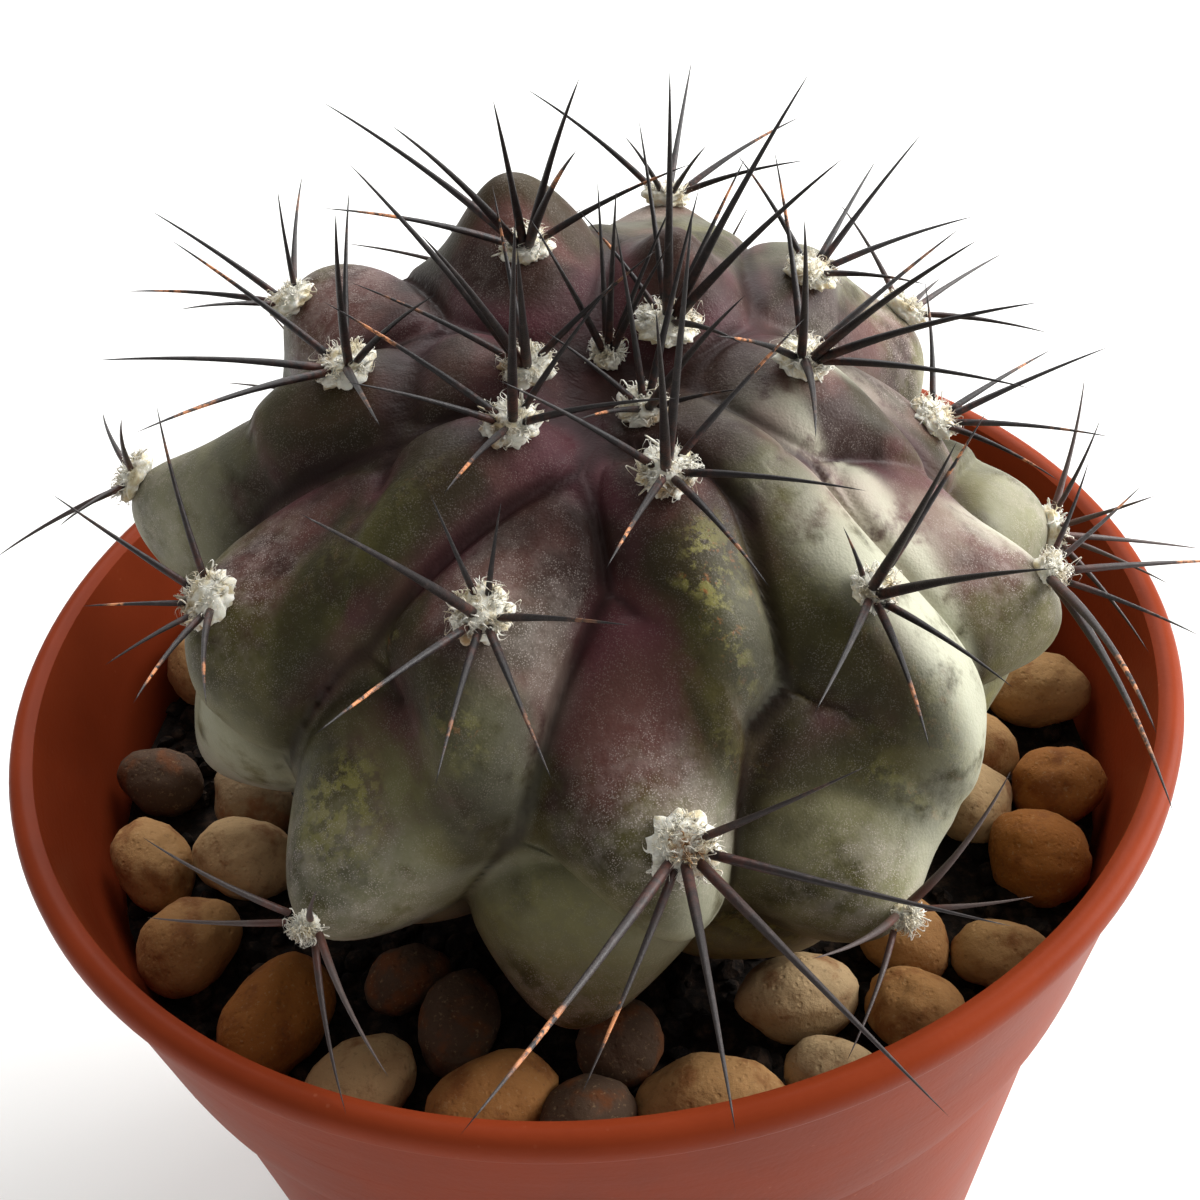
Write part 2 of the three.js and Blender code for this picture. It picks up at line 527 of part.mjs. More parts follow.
const plastic = new THREE.MeshStandardMaterial({ color: 0xa3502f, roughness: 0.42, metalness: 0 });
const earth = new THREE.MeshStandardMaterial({ color: 0x2a1f18, roughness: 0.95, metalness: 0 });
const stoneFinish = new THREE.MeshStandardMaterial({ color: 0xa98353, roughness: 0.8, metalness: 0 });
const flesh = new THREE.MeshStandardMaterial({ color: 0x6b6258, roughness: 0.6, metalness: 0 });
const spineFinish = new THREE.MeshStandardMaterial({ color: 0x2b2526, roughness: 0.5, metalness: 0 });

const stemRoom = stemSolid(GAP);
const group = new THREE.Group();
group.add(piece("pot", buildPot(), plastic));
group.add(piece("soil", buildSoil(stemRoom), earth));
group.add(piece("gravel", buildGravel(stemRoom), stoneFinish));
group.add(piece("cactus_body", stemSolid(0), flesh));
for (const tubercle of tubercles.slice(0, AREOLES)) {
  const name = `areole_${String(tubercle.n).padStart(2, "0")}`;
  group.add(piece(name, areole(tubercle, stemRoom), spineFinish.clone()));
}

export default group;
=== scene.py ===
"""A potted copiapoa griseoviolacea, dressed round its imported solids.

Sizes are millimetres in the model's own frame, +Z up with the origin at the middle of the pot's base, and
become metres where a mesh is written. Azimuths start at the front, -Y, and rise towards +X.
"""

import logging
import math
from collections.abc import Iterator
from contextlib import contextmanager
from dataclasses import dataclass, field
from enum import Enum

import bpy
import numpy as np
from mathutils import Matrix, Vector
from mathutils.bvhtree import BVHTree


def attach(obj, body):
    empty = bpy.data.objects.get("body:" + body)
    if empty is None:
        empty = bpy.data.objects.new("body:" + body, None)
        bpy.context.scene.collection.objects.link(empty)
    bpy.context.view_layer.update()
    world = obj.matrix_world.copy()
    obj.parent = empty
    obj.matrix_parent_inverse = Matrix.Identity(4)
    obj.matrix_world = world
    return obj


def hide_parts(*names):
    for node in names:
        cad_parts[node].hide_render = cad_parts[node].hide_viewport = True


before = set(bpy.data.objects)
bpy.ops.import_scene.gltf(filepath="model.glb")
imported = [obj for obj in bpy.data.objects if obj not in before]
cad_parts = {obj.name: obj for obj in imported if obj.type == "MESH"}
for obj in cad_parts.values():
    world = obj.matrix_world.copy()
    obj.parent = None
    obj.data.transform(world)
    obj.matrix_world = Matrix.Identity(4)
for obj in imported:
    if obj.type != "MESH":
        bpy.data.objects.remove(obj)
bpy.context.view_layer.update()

MM = 0.001
DEGREE = math.pi / 180
BODY = "root"
log = logging.getLogger("cactus")

Colour = tuple[int, int, int]
Point = tuple[float, float]


# Numbers and meshes


def wobble(place: int, use: int) -> float:
    """Gives a repeatable number from -1 to 1.

    Args:
        place: The number of the thing that varies.
        use: The number of the property that varies.

    Returns:
        The same value for the same two numbers.
    """
    s = math.sin(place * 12.9898 + use * 78.233) * 43758.5453
    return 2 * (s - math.floor(s)) - 1


def linear(colour: Colour) -> tuple[float, float, float, float]:
    """Turns a display colour into the renderer's linear values.

    Args:
        colour: Red, green and blue from 0 to 255.

    Returns:
        Red, green and blue from 0 to 1, and a 1 for full cover.
    """
    shares = [c / 255 for c in colour]
    values = [s / 12.92 if s <= 0.04045 else ((s + 0.055) / 1.055) ** 2.4 for s in shares]
    return (*values, 1.0)


def ease(share: np.ndarray) -> np.ndarray:
    """Eases shares in from 0 to 1."""
    held = np.clip(share, 0, 1)
    return held * held * (3 - 2 * held)


def unit(vectors: np.ndarray) -> np.ndarray:
    """Scales each row to length one."""
    return vectors / np.linalg.norm(vectors, axis=-1, keepdims=True)


@contextmanager
def edit_mode(piece: bpy.types.Object) -> Iterator[None]:
    """Opens one object's edit mode with nothing else selected.

    Args:
        piece: The object to shape.

    Yields:
        Nothing; the object is back in object mode afterwards.
    """
    bpy.ops.object.select_all(action="DESELECT")
    piece.select_set(True)
    bpy.context.view_layer.objects.active = piece
    bpy.ops.object.mode_set(mode="EDIT")
    yield
    bpy.ops.object.mode_set(mode="OBJECT")


def face_outwards(piece: bpy.types.Object) -> None:
    """Merges doubled corners and turns every face of a closed shape outwards."""
    with edit_mode(piece):
        bpy.ops.mesh.select_all(action="SELECT")
        bpy.ops.mesh.remove_doubles(threshold=1e-7)
        bpy.ops.mesh.normals_make_consistent(inside=False)


def apply_modifier(piece: bpy.types.Object, kind: str, **settings: object) -> None:
    """Adds one modifier, sets it and applies it.

    Args:
        piece: The object that takes it.
        kind: Blender's name of the modifier's type.
        **settings: The modifier's own settings.
    """
    modifier = piece.modifiers.new(kind.title(), kind)
    for name, value in settings.items():
        setattr(modifier, name, value)
    bpy.ops.object.select_all(action="DESELECT")
    piece.select_set(True)
    bpy.context.view_layer.objects.active = piece
    bpy.ops.object.modifier_apply(modifier=modifier.name)


def coordinates(mesh: bpy.types.Mesh) -> np.ndarray:
    """Reads a mesh's corners as rows of x, y and z."""
    flat = np.empty(len(mesh.vertices) * 3)
    mesh.vertices.foreach_get("co", flat)
    return flat.reshape(-1, 3)


def set_attribute(mesh: bpy.types.Mesh, name: str, values: np.ndarray) -> None:
    """Stores one number for each corner of a mesh under a name that a material reads."""
    mesh.attributes.new(name, "FLOAT", "POINT").data.foreach_set("value", values.astype(np.float32))


@dataclass(frozen=True)
class Blank:
    """One modelled shape, kept to be copied many times: its corners and faces."""

    corners: np.ndarray
    faces: list[tuple[int, ...]]

    @classmethod
    def from_object(cls, piece: bpy.types.Object) -> "Blank":
        """Takes an object's mesh as the pattern and removes the object.

        Args:
            piece: The modelled object.

        Returns:
            Its shape.
        """
        corners = coordinates(piece.data)
        faces = [tuple(face.vertices) for face in piece.data.polygons]
        mesh = piece.data
        bpy.data.objects.remove(piece)
        bpy.data.meshes.remove(mesh)
        return cls(corners, faces)


@dataclass
class Assembly:
    """Copies of blanks gathered into one mesh, each copy with its own corners."""

    name: str
    corners: list[np.ndarray] = field(default_factory=list)
    faces: list[tuple[int, ...]] = field(default_factory=list)
    marks: dict[str, list[np.ndarray]] = field(default_factory=dict)
    count: int = 0

    def add(self, blank: Blank, corners: np.ndarray, **marks: np.ndarray | float) -> None:
        """Adds one copy.

        Args:
            blank: The pattern, for its faces.
            corners: The copy's corners in millimetres.
            **marks: A number for each corner, or one for all, by attribute name.
        """
        self.faces += [tuple(corner + self.count for corner in face) for face in blank.faces]
        self.corners.append(corners)
        self.count += len(corners)
        for name, values in marks.items():
            self.marks.setdefault(name, []).append(np.broadcast_to(values, len(corners)))

    def build(self, smooth: bool = True) -> bpy.types.Object:
        """Makes the object.

        Args:
            smooth: Whether its faces are shaded smooth.

        Returns:
            An object at the origin with its place in its mesh.
        """
        mesh = bpy.data.meshes.new(self.name)
        mesh.from_pydata((np.vstack(self.corners) * MM).tolist(), [], self.faces)
        for name, parts in self.marks.items():
            set_attribute(mesh, name, np.concatenate(parts))
        mesh.polygons.foreach_set("use_smooth", [smooth] * len(mesh.polygons))
        piece = bpy.data.objects.new(self.name, mesh)
        bpy.context.collection.objects.link(piece)
        return piece


class Slot(Enum):
    """The record's material slots."""

    POT = "pot_plastic"
    SOIL = "soil"
    GRAVEL = "gravel"
    FLESH = "flesh"
    SPINE = "spine"


def mount_piece(piece: bpy.types.Object, slot: Slot, *nodes: str) -> None:
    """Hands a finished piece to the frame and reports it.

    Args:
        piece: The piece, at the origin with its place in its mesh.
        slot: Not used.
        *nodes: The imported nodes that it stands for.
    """
    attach(piece, BODY)
    if nodes:
        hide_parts(*nodes)
    log.info("%s: %d faces", piece.name, len(piece.data.polygons))


# Materials


class Graph:
    """A material's node tree, grown one node at a time."""

    def __init__(self, name: str) -> None:
        """Starts a material with its shader.

        Args:
            name: The material's name.
        """
        self.material = bpy.data.materials.new(name)
        self.material.use_nodes = True
        self.tree = self.material.node_tree
        self.shader = self.tree.nodes["Principled BSDF"]
        self.place = self.node("ShaderNodeTexCoord").outputs["Object"]

    def node(self, kind: str, **settings: object) -> bpy.types.Node:
        """Adds a node.

        Args:
            kind: Its type.
            **settings: Its own settings.

        Returns:
            The node.
        """
        made = self.tree.nodes.new(kind)
        for name, value in settings.items():
            setattr(made, name, value)
        return made

    def feed(self, socket: bpy.types.NodeSocket, value: object) -> None:
        """Links a socket to another, or sets its plain value."""
        if isinstance(value, bpy.types.NodeSocket):
            self.tree.links.new(value, socket)
        else:
            socket.default_value = value

    def finish(self, **values: object) -> bpy.types.Material:
        """Sets the shader's sockets.

        Args:
            **values: A value or a socket by the shader socket's name, with _ for a space.

        Returns:
            The material.
        """
        for name, value in values.items():
            self.feed(self.shader.inputs[name.replace("_", " ")], value)
        return self.material

    def attribute(self, name: str) -> bpy.types.NodeSocket:
        """Reads a number stored on the mesh."""
        return self.node("ShaderNodeAttribute", attribute_name=name).outputs["Fac"]

    def stretched(self, x: float, y: float, z: float) -> bpy.types.NodeSocket:
        """Gives the object's coordinates scaled along each axis."""
        mapping = self.node("ShaderNodeMapping")
        self.feed(mapping.inputs["Vector"], self.place)
        mapping.inputs["Scale"].default_value = (x, y, z)
        return mapping.outputs["Vector"]

    def noise(
        self, size: float, detail: float = 3.0, roughness: float = 0.5,
        place: bpy.types.NodeSocket | None = None,
    ) -> bpy.types.NodeSocket:
        """Adds soft noise.

        Args:
            size: The width of its blotches in millimetres.
            detail: How many finer layers it has.
            roughness: How strong they are.
            place: The coordinates it reads, or none for the object's own.

        Returns:
            Its value, about 0.5 on average.
        """
        made = self.node("ShaderNodeTexNoise")
        self.feed(made.inputs["Vector"], place or self.place)
        made.inputs["Scale"].default_value = 1 / (size * MM)
        made.inputs["Detail"].default_value = detail
        made.inputs["Roughness"].default_value = roughness
        return made.outputs["Fac"]

    def cells(self, size: float) -> bpy.types.NodeSocket:
        """Adds the distance to the nearest of scattered points.

        Args:
            size: The points' spacing in millimetres.

        Returns:
            The distance in cells, 0 at a point.
        """
        made = self.node("ShaderNodeTexVoronoi")
        self.feed(made.inputs["Vector"], self.place)
        made.inputs["Scale"].default_value = 1 / (size * MM)
        return made.outputs["Distance"]

    def fade(self, value: bpy.types.NodeSocket, start: float, end: float) -> bpy.types.NodeSocket:
        """Maps a value smoothly to 0 at start and 1 at end.

        Args:
            value: The value.
            start: Where the result is 0.
            end: Where the result is 1.

        Returns:
            A number from 0 to 1.
        """
        low, high = min(start, end), max(start, end)
        made = self.node("ShaderNodeMapRange", interpolation_type="SMOOTHSTEP")
        self.feed(made.inputs["Value"], value)
        made.inputs["From Min"].default_value = low
        made.inputs["From Max"].default_value = high
        made.inputs["To Min"].default_value = 0.0 if start < end else 1.0
        made.inputs["To Max"].default_value = 1.0 if start < end else 0.0
        return made.outputs["Result"]

    def calc(self, operation: str, first: object, second: object = 0.0) -> bpy.types.NodeSocket:
        """Combines two values.

        Args:
            operation: Blender's name of the operation.
            first: A socket or a number.
            second: A socket or a number.

        Returns:
            The result.
        """
        made = self.node("ShaderNodeMath", operation=operation)
        self.feed(made.inputs[0], first)
        self.feed(made.inputs[1], second)
        return made.outputs[0]

    def times(self, *values: object) -> bpy.types.NodeSocket:
        """Multiplies several values."""
        result = values[0]
        for value in values[1:]:
            result = self.calc("MULTIPLY", result, value)
        return result

    def mix(self, share: object, first: object, second: object) -> bpy.types.NodeSocket:
        """Blends two colours.

        Args:
            share: How much of the second shows.
            first: A colour or a socket.
            second: A colour or a socket.

        Returns:
            The colour.
        """
        made = self.node("ShaderNodeMix", data_type="RGBA")
        self.feed(made.inputs[0], share)
        self.feed(made.inputs[6], linear(first) if isinstance(first, tuple) else first)
        self.feed(made.inputs[7], linear(second) if isinstance(second, tuple) else second)
        return made.outputs[2]

    def bump(
        self, height: bpy.types.NodeSocket, depth: float, under: bpy.types.NodeSocket | None = None
    ) -> bpy.types.NodeSocket:
        """Raises the surface by a value.

        Args:
            height: The value, from 0 to 1.
            depth: The rise in millimetres.
            under: A coarser relief that this one lies on.

        Returns:
            The normal.
        """
        made = self.node("ShaderNodeBump")
        made.inputs["Distance"].default_value = depth * MM
        self.feed(made.inputs["Height"], height)
        if under is not None:
            self.feed(made.inputs["Normal"], under)
        return made.outputs["Normal"]


@dataclass(frozen=True)
class PotPlastic:
    """Moulded orange-brown plastic, satin, with fine wear."""

    body: Colour = (136, 55, 28)
    deep: Colour = (126, 50, 25)
    dust: Colour = (158, 92, 66)

    def material(self) -> bpy.types.Material:
        """Builds the material."""
        g = Graph("pot_plastic")
        cloud = g.noise(9, 4)
        colour = g.mix(g.fade(cloud, 0.35, 0.65), self.deep, self.body)
        specks = g.times(g.fade(g.cells(0.9), 0.14, 0.05), g.fade(g.noise(5, 2), 0.5, 0.7), 0.5)
        colour = g.mix(specks, colour, self.dust)
        scratches = g.fade(g.noise(0.7, 2, 0.6, g.stretched(0.12, 0.12, 2.2)), 0.62, 0.72)
        rings = g.noise(1.6, 2, 0.5, g.stretched(0.02, 0.02, 1.0))
        relief = g.bump(g.noise(0.35, 2), 0.012, g.bump(rings, 0.03))
        rough = g.node("ShaderNodeMapRange")
        g.feed(rough.inputs["Value"], g.calc("ADD", cloud, g.times(scratches, 0.25)))
        rough.inputs["To Min"].default_value = 0.3
        rough.inputs["To Max"].default_value = 0.5
        return g.finish(Base_Color=colour, Roughness=rough.outputs["Result"], Normal=relief, IOR=1.12)


@dataclass(frozen=True)
class DampEarth:
    """Near-black potting soil."""

    dark: Colour = (22, 17, 14)
    crumb: Colour = (58, 44, 34)

    def material(self) -> bpy.types.Material:
        """Builds the material."""
        g = Graph("damp_earth")
        grain = g.noise(0.8, 5, 0.65)
        colour = g.mix(g.fade(grain, 0.45, 0.7), self.dark, self.crumb)
        relief = g.bump(g.noise(0.5, 4, 0.7), 0.12, g.bump(g.cells(1.4), 0.5))
        return g.finish(Base_Color=colour, Roughness=0.95, Normal=relief, Specular_IOR_Level=0.2)


@dataclass(frozen=True)
class RiverStone:
    """Rounded tan and ochre gravel; each stone's tone runs from ochre through tan to dark brown."""

    ochre: Colour = (158, 98, 40)
    tan: Colour = (172, 132, 84)
    pale: Colour = (188, 160, 118)
    brown: Colour = (84, 64, 48)
    stain: Colour = (120, 66, 26)

    def material(self) -> bpy.types.Material:
        """Builds the material."""
        g = Graph("river_stone")
        tone = g.attribute("tone")
        colour = g.mix(g.fade(tone, 0.15, 0.4), self.ochre, self.tan)
        colour = g.mix(g.fade(tone, 0.45, 0.7), colour, self.pale)
        colour = g.mix(g.fade(tone, 0.78, 0.85), colour, self.brown)
        colour = g.mix(g.times(g.fade(g.noise(2.2, 4, 0.6), 0.5, 0.68), 0.7), colour, self.stain)
        grit = g.noise(0.28, 3, 0.7)
        colour = g.mix(g.times(g.fade(grit, 0.55, 0.72), 0.35), colour, self.brown)
        colour = g.mix(g.times(g.fade(grit, 0.42, 0.3), 0.3), colour, self.pale)
        pits = g.fade(g.cells(0.5), 0.1, 0.3)
        relief = g.bump(pits, 0.03, g.bump(g.noise(0.6, 5, 0.62), 0.12))
        return g.finish(Base_Color=colour, Roughness=0.82, Normal=relief, Specular_IOR_Level=0.3)


@dataclass(frozen=True)
class StemSkin:
    """Mauve-brown skin, olive lower down, with magenta rims, cork, chalky patches, whitish speckle, painted
    crease shade and painted light.
    """

    mauve: Colour = (94, 61, 55)
    umber: Colour = (55, 36, 30)
    moss: Colour = (50, 47, 25)
    olive: Colour = (82, 78, 42)
    sage: Colour = (128, 126, 90)
    magenta: Colour = (116, 60, 74)
    # The crease colour is the painted shade in and along the creases.
    crease: Colour = (28, 15, 13)
    cork: Colour = (142, 136, 74)
    rust: Colour = (140, 88, 44)
    # Real chalky coat, and painted light on the paler right sides.
    chalk_and_light: Colour = (190, 190, 168)
    # The silver is the real whitish speckle and the painted highlight near the areoles.
    silver: Colour = (196, 184, 176)

    def flush(self, g: Graph) -> bpy.types.NodeSocket:
        """Lays the broad colours: umber and mauve at the crown, moss and olive lower down.

        Args:
            g: The graph to add to.

        Returns:
            The colour.
        """
        wide = g.noise(5, 3)
        patch = g.noise(3.4, 4, 0.6)
        outer = g.fade(g.attribute("age"), 0.1, 0.5)
        warm = g.calc("ADD", wide, g.calc("MULTIPLY", outer, 0.16))
        young = g.mix(g.fade(warm, 0.5, 0.7), self.umber, self.mauve)
        green = g.mix(g.fade(patch, 0.38, 0.62), self.moss, self.olive)
        pale = g.times(g.fade(g.attribute("age"), 0.42, 0.58), g.fade(wide, 0.36, 0.6), 0.68)
        green = g.mix(pale, green, self.sage)
        turn = g.calc("ADD", g.attribute("down"), g.calc("MULTIPLY", patch, 0.35))
        turn = g.calc("ADD", turn, g.calc("MULTIPLY", g.attribute("lift"), -0.1))
        turn = g.calc("ADD", turn, g.calc("MULTIPLY", g.attribute("green"), 0.12))
        return g.mix(g.times(g.fade(turn, 0.43, 0.6), 0.92), young, green)

    def flecked(self, g: Graph, colour: bpy.types.NodeSocket) -> bpy.types.NodeSocket:
        """Adds the dark green wedge below each areole and the cork along its keel.

        Args:
            g: The graph to add to.
            colour: The colour under it.

        Returns:
            The colour.
        """
        lift, ragged = g.attribute("lift"), g.noise(0.9, 4, 0.65)
        wander = g.calc("MULTIPLY", g.calc("SUBTRACT", g.noise(2.2, 4, 0.6), 0.5), 0.9)
        side = g.calc("ABSOLUTE", g.calc("ADD", g.attribute("across"), wander))
        chin = g.times(g.fade(lift, -0.25, -0.6), g.fade(lift, -2.6, -1.9))
        chin = g.times(chin, g.fade(g.attribute("age"), 0.08, 0.16), g.fade(g.attribute("edge"), 0.05, 0.9))
        colour = g.mix(g.times(g.fade(side, 0.95, 0.35), chin, 0.72), colour, self.moss)
        keel = g.times(g.fade(side, 0.3, 0.06), chin, g.fade(lift, -0.5, -1.0), g.attribute("cork"))
        colour = g.mix(g.times(keel, g.fade(ragged, 0.47, 0.58), 0.58), colour, self.cork)
        colour = g.mix(g.times(keel, g.fade(g.noise(0.6, 4, 0.7), 0.56, 0.66), 0.7), colour, self.rust)
        brow = g.times(g.fade(g.attribute("age"), 0.5, 0.58), g.fade(lift, 0.1, 0.5), g.attribute("cork"))
        return g.mix(g.times(brow, g.fade(ragged, 0.46, 0.58), 0.75), colour, self.cork)

    def material(self) -> bpy.types.Material:
        """Builds the material."""
        g = Graph("stem_skin")
        age, inside, lift = g.attribute("age"), g.attribute("inside"), g.attribute("lift")
        colour = self.flush(g)
        rim = g.times(g.fade(inside, 1.3, 0.4), g.fade(age, 0.5, 0.34))
        rim = g.times(rim, g.fade(g.noise(7, 2), 0.42, 0.6), 0.48)
        colour = g.mix(rim, colour, self.magenta)
        # Paler right side of each tubercle: partly a real chalky coat, partly painted light on the side the
        # light falls on. The pale skirt low on old tubercles is a real chalky coat.
        aside = g.fade(g.attribute("across"), -0.2, 0.25)
        climb = g.calc("SUBTRACT", lift, g.calc("MULTIPLY", g.fade(age, 0.45, 0.6), 1.3))
        chalk_and_lit_flank = g.times(aside, g.fade(climb, 1.1, 0.2), g.attribute("chalk_and_light"))
        grey = g.fade(g.attribute("green"), 1.0, 0.5)
        skirt = g.times(g.fade(age, 0.5, 0.6), g.fade(lift, 0.5, -0.2), grey, 0.6)
        cloud = g.fade(g.noise(2.6, 5, 0.62), 0.28, 0.52)
        colour = self.flecked(g, colour)
        colour = g.mix(g.times(g.calc("MAXIMUM", chalk_and_lit_flank, skirt), cloud, 0.78), colour, self.chalk_and_light)
        # Painted shade: the skin darkens within about 2.4 mm of a crease, and a thin dark line runs along
        # each seam; both fade on the oldest tubercles and on the paler right sides.
        deep = g.times(g.fade(age, 0.8, 0.5), g.fade(g.times(chalk_and_lit_flank, cloud), 0.7, 0.1))
        colour = g.mix(g.times(g.fade(inside, 2.4, 0.2), deep, 0.4), colour, self.crease)
        seam_shade = g.times(g.fade(g.attribute("seam"), 0.6, 0.08), deep)
        colour = g.mix(g.times(seam_shade, 0.62), colour, self.crease)
        # Painted highlight: a silver sheen above and close to each areole, kept off the seams. The fine
        # whitish speckle over the skin is real; near the areoles it is made stronger as painted highlight.
        close = g.fade(g.attribute("reach"), 7.0, 2.0)
        lit = g.times(g.fade(lift, -0.6, 0.1), close, g.fade(age, 0.12, 0.36))
        clear = g.fade(seam_shade, 0.5, 0.1)
        painted_sheen = g.times(lit, clear, g.fade(g.noise(1.2, 5, 0.7), 0.4, 0.64), 0.2)
        colour = g.mix(painted_sheen, colour, self.silver)
        grain = g.times(g.fade(g.cells(0.09), 0.46, 0.16), g.fade(g.noise(0.7, 4, 0.65), 0.36, 0.62))
        speckle_and_sheen = g.times(grain, g.calc("ADD", 0.14, g.calc("MULTIPLY", lit, 0.46)), clear)
        colour = g.mix(speckle_and_sheen, colour, self.silver)
        relief = g.bump(g.cells(0.15), 0.012, g.bump(g.noise(0.5, 5, 0.65), 0.04))
        return g.finish(Base_Color=colour, Roughness=0.5, Normal=relief, IOR=1.22)


@dataclass(frozen=True)
class WoolFloss:
    """Cream-white wool, browner where it is old and low."""

    white: Colour = (244, 240, 224)
    cream: Colour = (214, 198, 158)
    brown: Colour = (132, 92, 52)

    def material(self) -> bpy.types.Material:
        """Builds the material."""
        g = Graph("wool_floss")
        stain = g.noise(0.9, 3, 0.6)
        colour = g.mix(g.fade(stain, 0.42, 0.66), self.white, self.cream)
        colour = g.mix(g.times(g.attribute("soil"), g.fade(stain, 0.35, 0.6)), colour, self.brown)
        return g.finish(
            Base_Color=colour, Roughness=0.9, Sheen_Weight=0.3, Sheen_Roughness=0.4, Specular_IOR_Level=0.2,
            Normal=g.bump(g.noise(0.12, 3, 0.7), 0.05), Subsurface_Weight=0.3,
            Subsurface_Radius=(0.0006, 0.0005, 0.0004), Subsurface_Scale=1.0,
        )


@dataclass(frozen=True)
class SpineHorn:
    """Charcoal spines: some have a tan band near the tip, old ones a reddish root and a weathered grey."""

    black: Colour = (27, 22, 22)
    worn: Colour = (84, 70, 66)
    band: Colour = (196, 128, 82)
    root: Colour = (84, 42, 30)

    def material(self) -> bpy.types.Material:
        """Builds the material."""
        g = Graph("spine_horn")
        along = g.attribute("along")
        banded = g.attribute("banded")
        weathered = g.attribute("weathered")
        streak = g.noise(0.5, 4, 0.7)
        grey = g.calc("ADD", weathered, g.times(g.fade(streak, 0.5, 0.72), 0.3))
        colour = g.mix(grey, self.black, self.worn)
        colour = g.mix(g.times(weathered, g.fade(along, 0.3, 0.05), 0.8), colour, self.root)
        foot = g.times(g.fade(along, 0.32, 0.06), g.fade(streak, 0.4, 0.6), 0.6)
        colour = g.mix(foot, colour, self.root)
        ring = g.times(g.fade(along, 0.56, 0.66), g.fade(along, 0.84, 0.74), banded)
        colour = g.mix(g.times(ring, g.fade(streak, 0.42, 0.6)), colour, self.band)
        relief = g.bump(g.noise(0.16, 4, 0.7), 0.03)
        return g.finish(Base_Color=colour, Roughness=0.48, Normal=relief, Specular_IOR_Level=0.4)


@dataclass(frozen=True)
class StudioPaper:
    """A plain pale surface to stand on."""

    white: Colour = (236, 236, 234)
    shade: Colour = (225, 225, 222)

    def material(self) -> bpy.types.Material:
        """Builds the material."""
        g = Graph("studio_paper")
        colour = g.mix(g.times(g.noise(30, 2), 0.04), self.white, self.shade)
        return g.finish(Base_Color=colour, Roughness=0.85, Specular_IOR_Level=0.2)


# Camera, light and floor


@dataclass
class Studio:
    """The camera at the photograph's angle, soft light and a pale floor."""

    elevation: float = 39.82
    distance: float = 97.338
    sight_x: float = 0.989
    sight_z: float = 2.815
    roll: float = 5.931
    lens: float = 52.5
    rim_height: float = 55.0
    floor_half: float = 2500.0
    world_strength: float = 0.35
    sun_strength: float = 3.4
    sun_spread: float = 45.0
    sun_from: tuple[float, float, float] = (0.9, 0.22, 0.55)

    def camera(self) -> None:
        """Places the camera: it looks down at a point near the rim plane, a little rolled."""
        tilt, roll = math.radians(self.elevation), math.radians(self.roll)
        back = Vector((0, -math.cos(tilt), math.sin(tilt)))
        across, up = Vector((1, 0, 0)), Vector((0, math.sin(tilt), math.cos(tilt)))
        right = across * math.cos(roll) - up * math.sin(roll)
        top = across * math.sin(roll) + up * math.cos(roll)
        sight = Vector((self.sight_x, 0, self.rim_height + self.sight_z))
        data = bpy.data.cameras.new("camera")
        data.lens, data.sensor_width = self.lens, 36
        data.clip_start, data.clip_end = 0.002, 20
        made = bpy.data.objects.new("camera", data)
        made.matrix_world = Matrix.Translation((sight + back * self.distance) * MM) @ Matrix(
            (right, top, back)
        ).transposed().to_4x4()
        bpy.context.collection.objects.link(made)
        bpy.context.scene.camera = made

    def softbox(self, name: str, place: tuple[float, float, float], size: float, power: float) -> None:
        """Adds one square light that faces the plant.

        Args:
            name: Its name.
            place: Its middle, in millimetres.
            size: Its side, in millimetres.
            power: Its power in watts.
        """
        data = bpy.data.lights.new(name, "AREA")
        data.size, data.energy = size * MM, power
        made = bpy.data.objects.new(name, data)
        aim = (Vector((0, 0, self.rim_height)) - Vector(place)).to_track_quat("-Z", "Y")
        made.matrix_world = Matrix.Translation(Vector(place) * MM) @ aim.to_matrix().to_4x4()
        bpy.context.collection.objects.link(made)

    def sun(self) -> None:
        """Adds the soft daylight that falls in from the right."""
        data = bpy.data.lights.new("daylight", "SUN")
        data.energy, data.angle = self.sun_strength, math.radians(self.sun_spread)
        made = bpy.data.objects.new("daylight", data)
        made.rotation_euler = (-Vector(self.sun_from)).to_track_quat("-Z", "Y").to_euler()
        bpy.context.collection.objects.link(made)

    def lights(self) -> None:
        """Sets the white surround, the daylight and the softboxes."""
        world = bpy.data.worlds.new("surround")
        world.use_nodes = True
        background = world.node_tree.nodes["Background"]
        background.inputs["Color"].default_value = (1, 1, 1, 1)
        background.inputs["Strength"].default_value = self.world_strength
        bpy.context.scene.world = world
        self.sun()
        self.softbox("back_light", (60, 420, 420), 420, 3.0)
        self.softbox("right_light", (420, 60, 200), 300, 2.0)
        bpy.context.scene.view_settings.view_transform = "Standard"

    def floor(self) -> None:
        """Lays the floor that the pot stands on."""
        bpy.ops.object.select_all(action="DESELECT")
        bpy.ops.mesh.primitive_plane_add(size=2 * self.floor_half * MM)
        made = bpy.context.object
        made.name = "floor"
        made.data.materials.append(StudioPaper().material())

    def build(self) -> None:
        """Makes all three."""
        self.camera()
        self.lights()
        self.floor()


# The pot


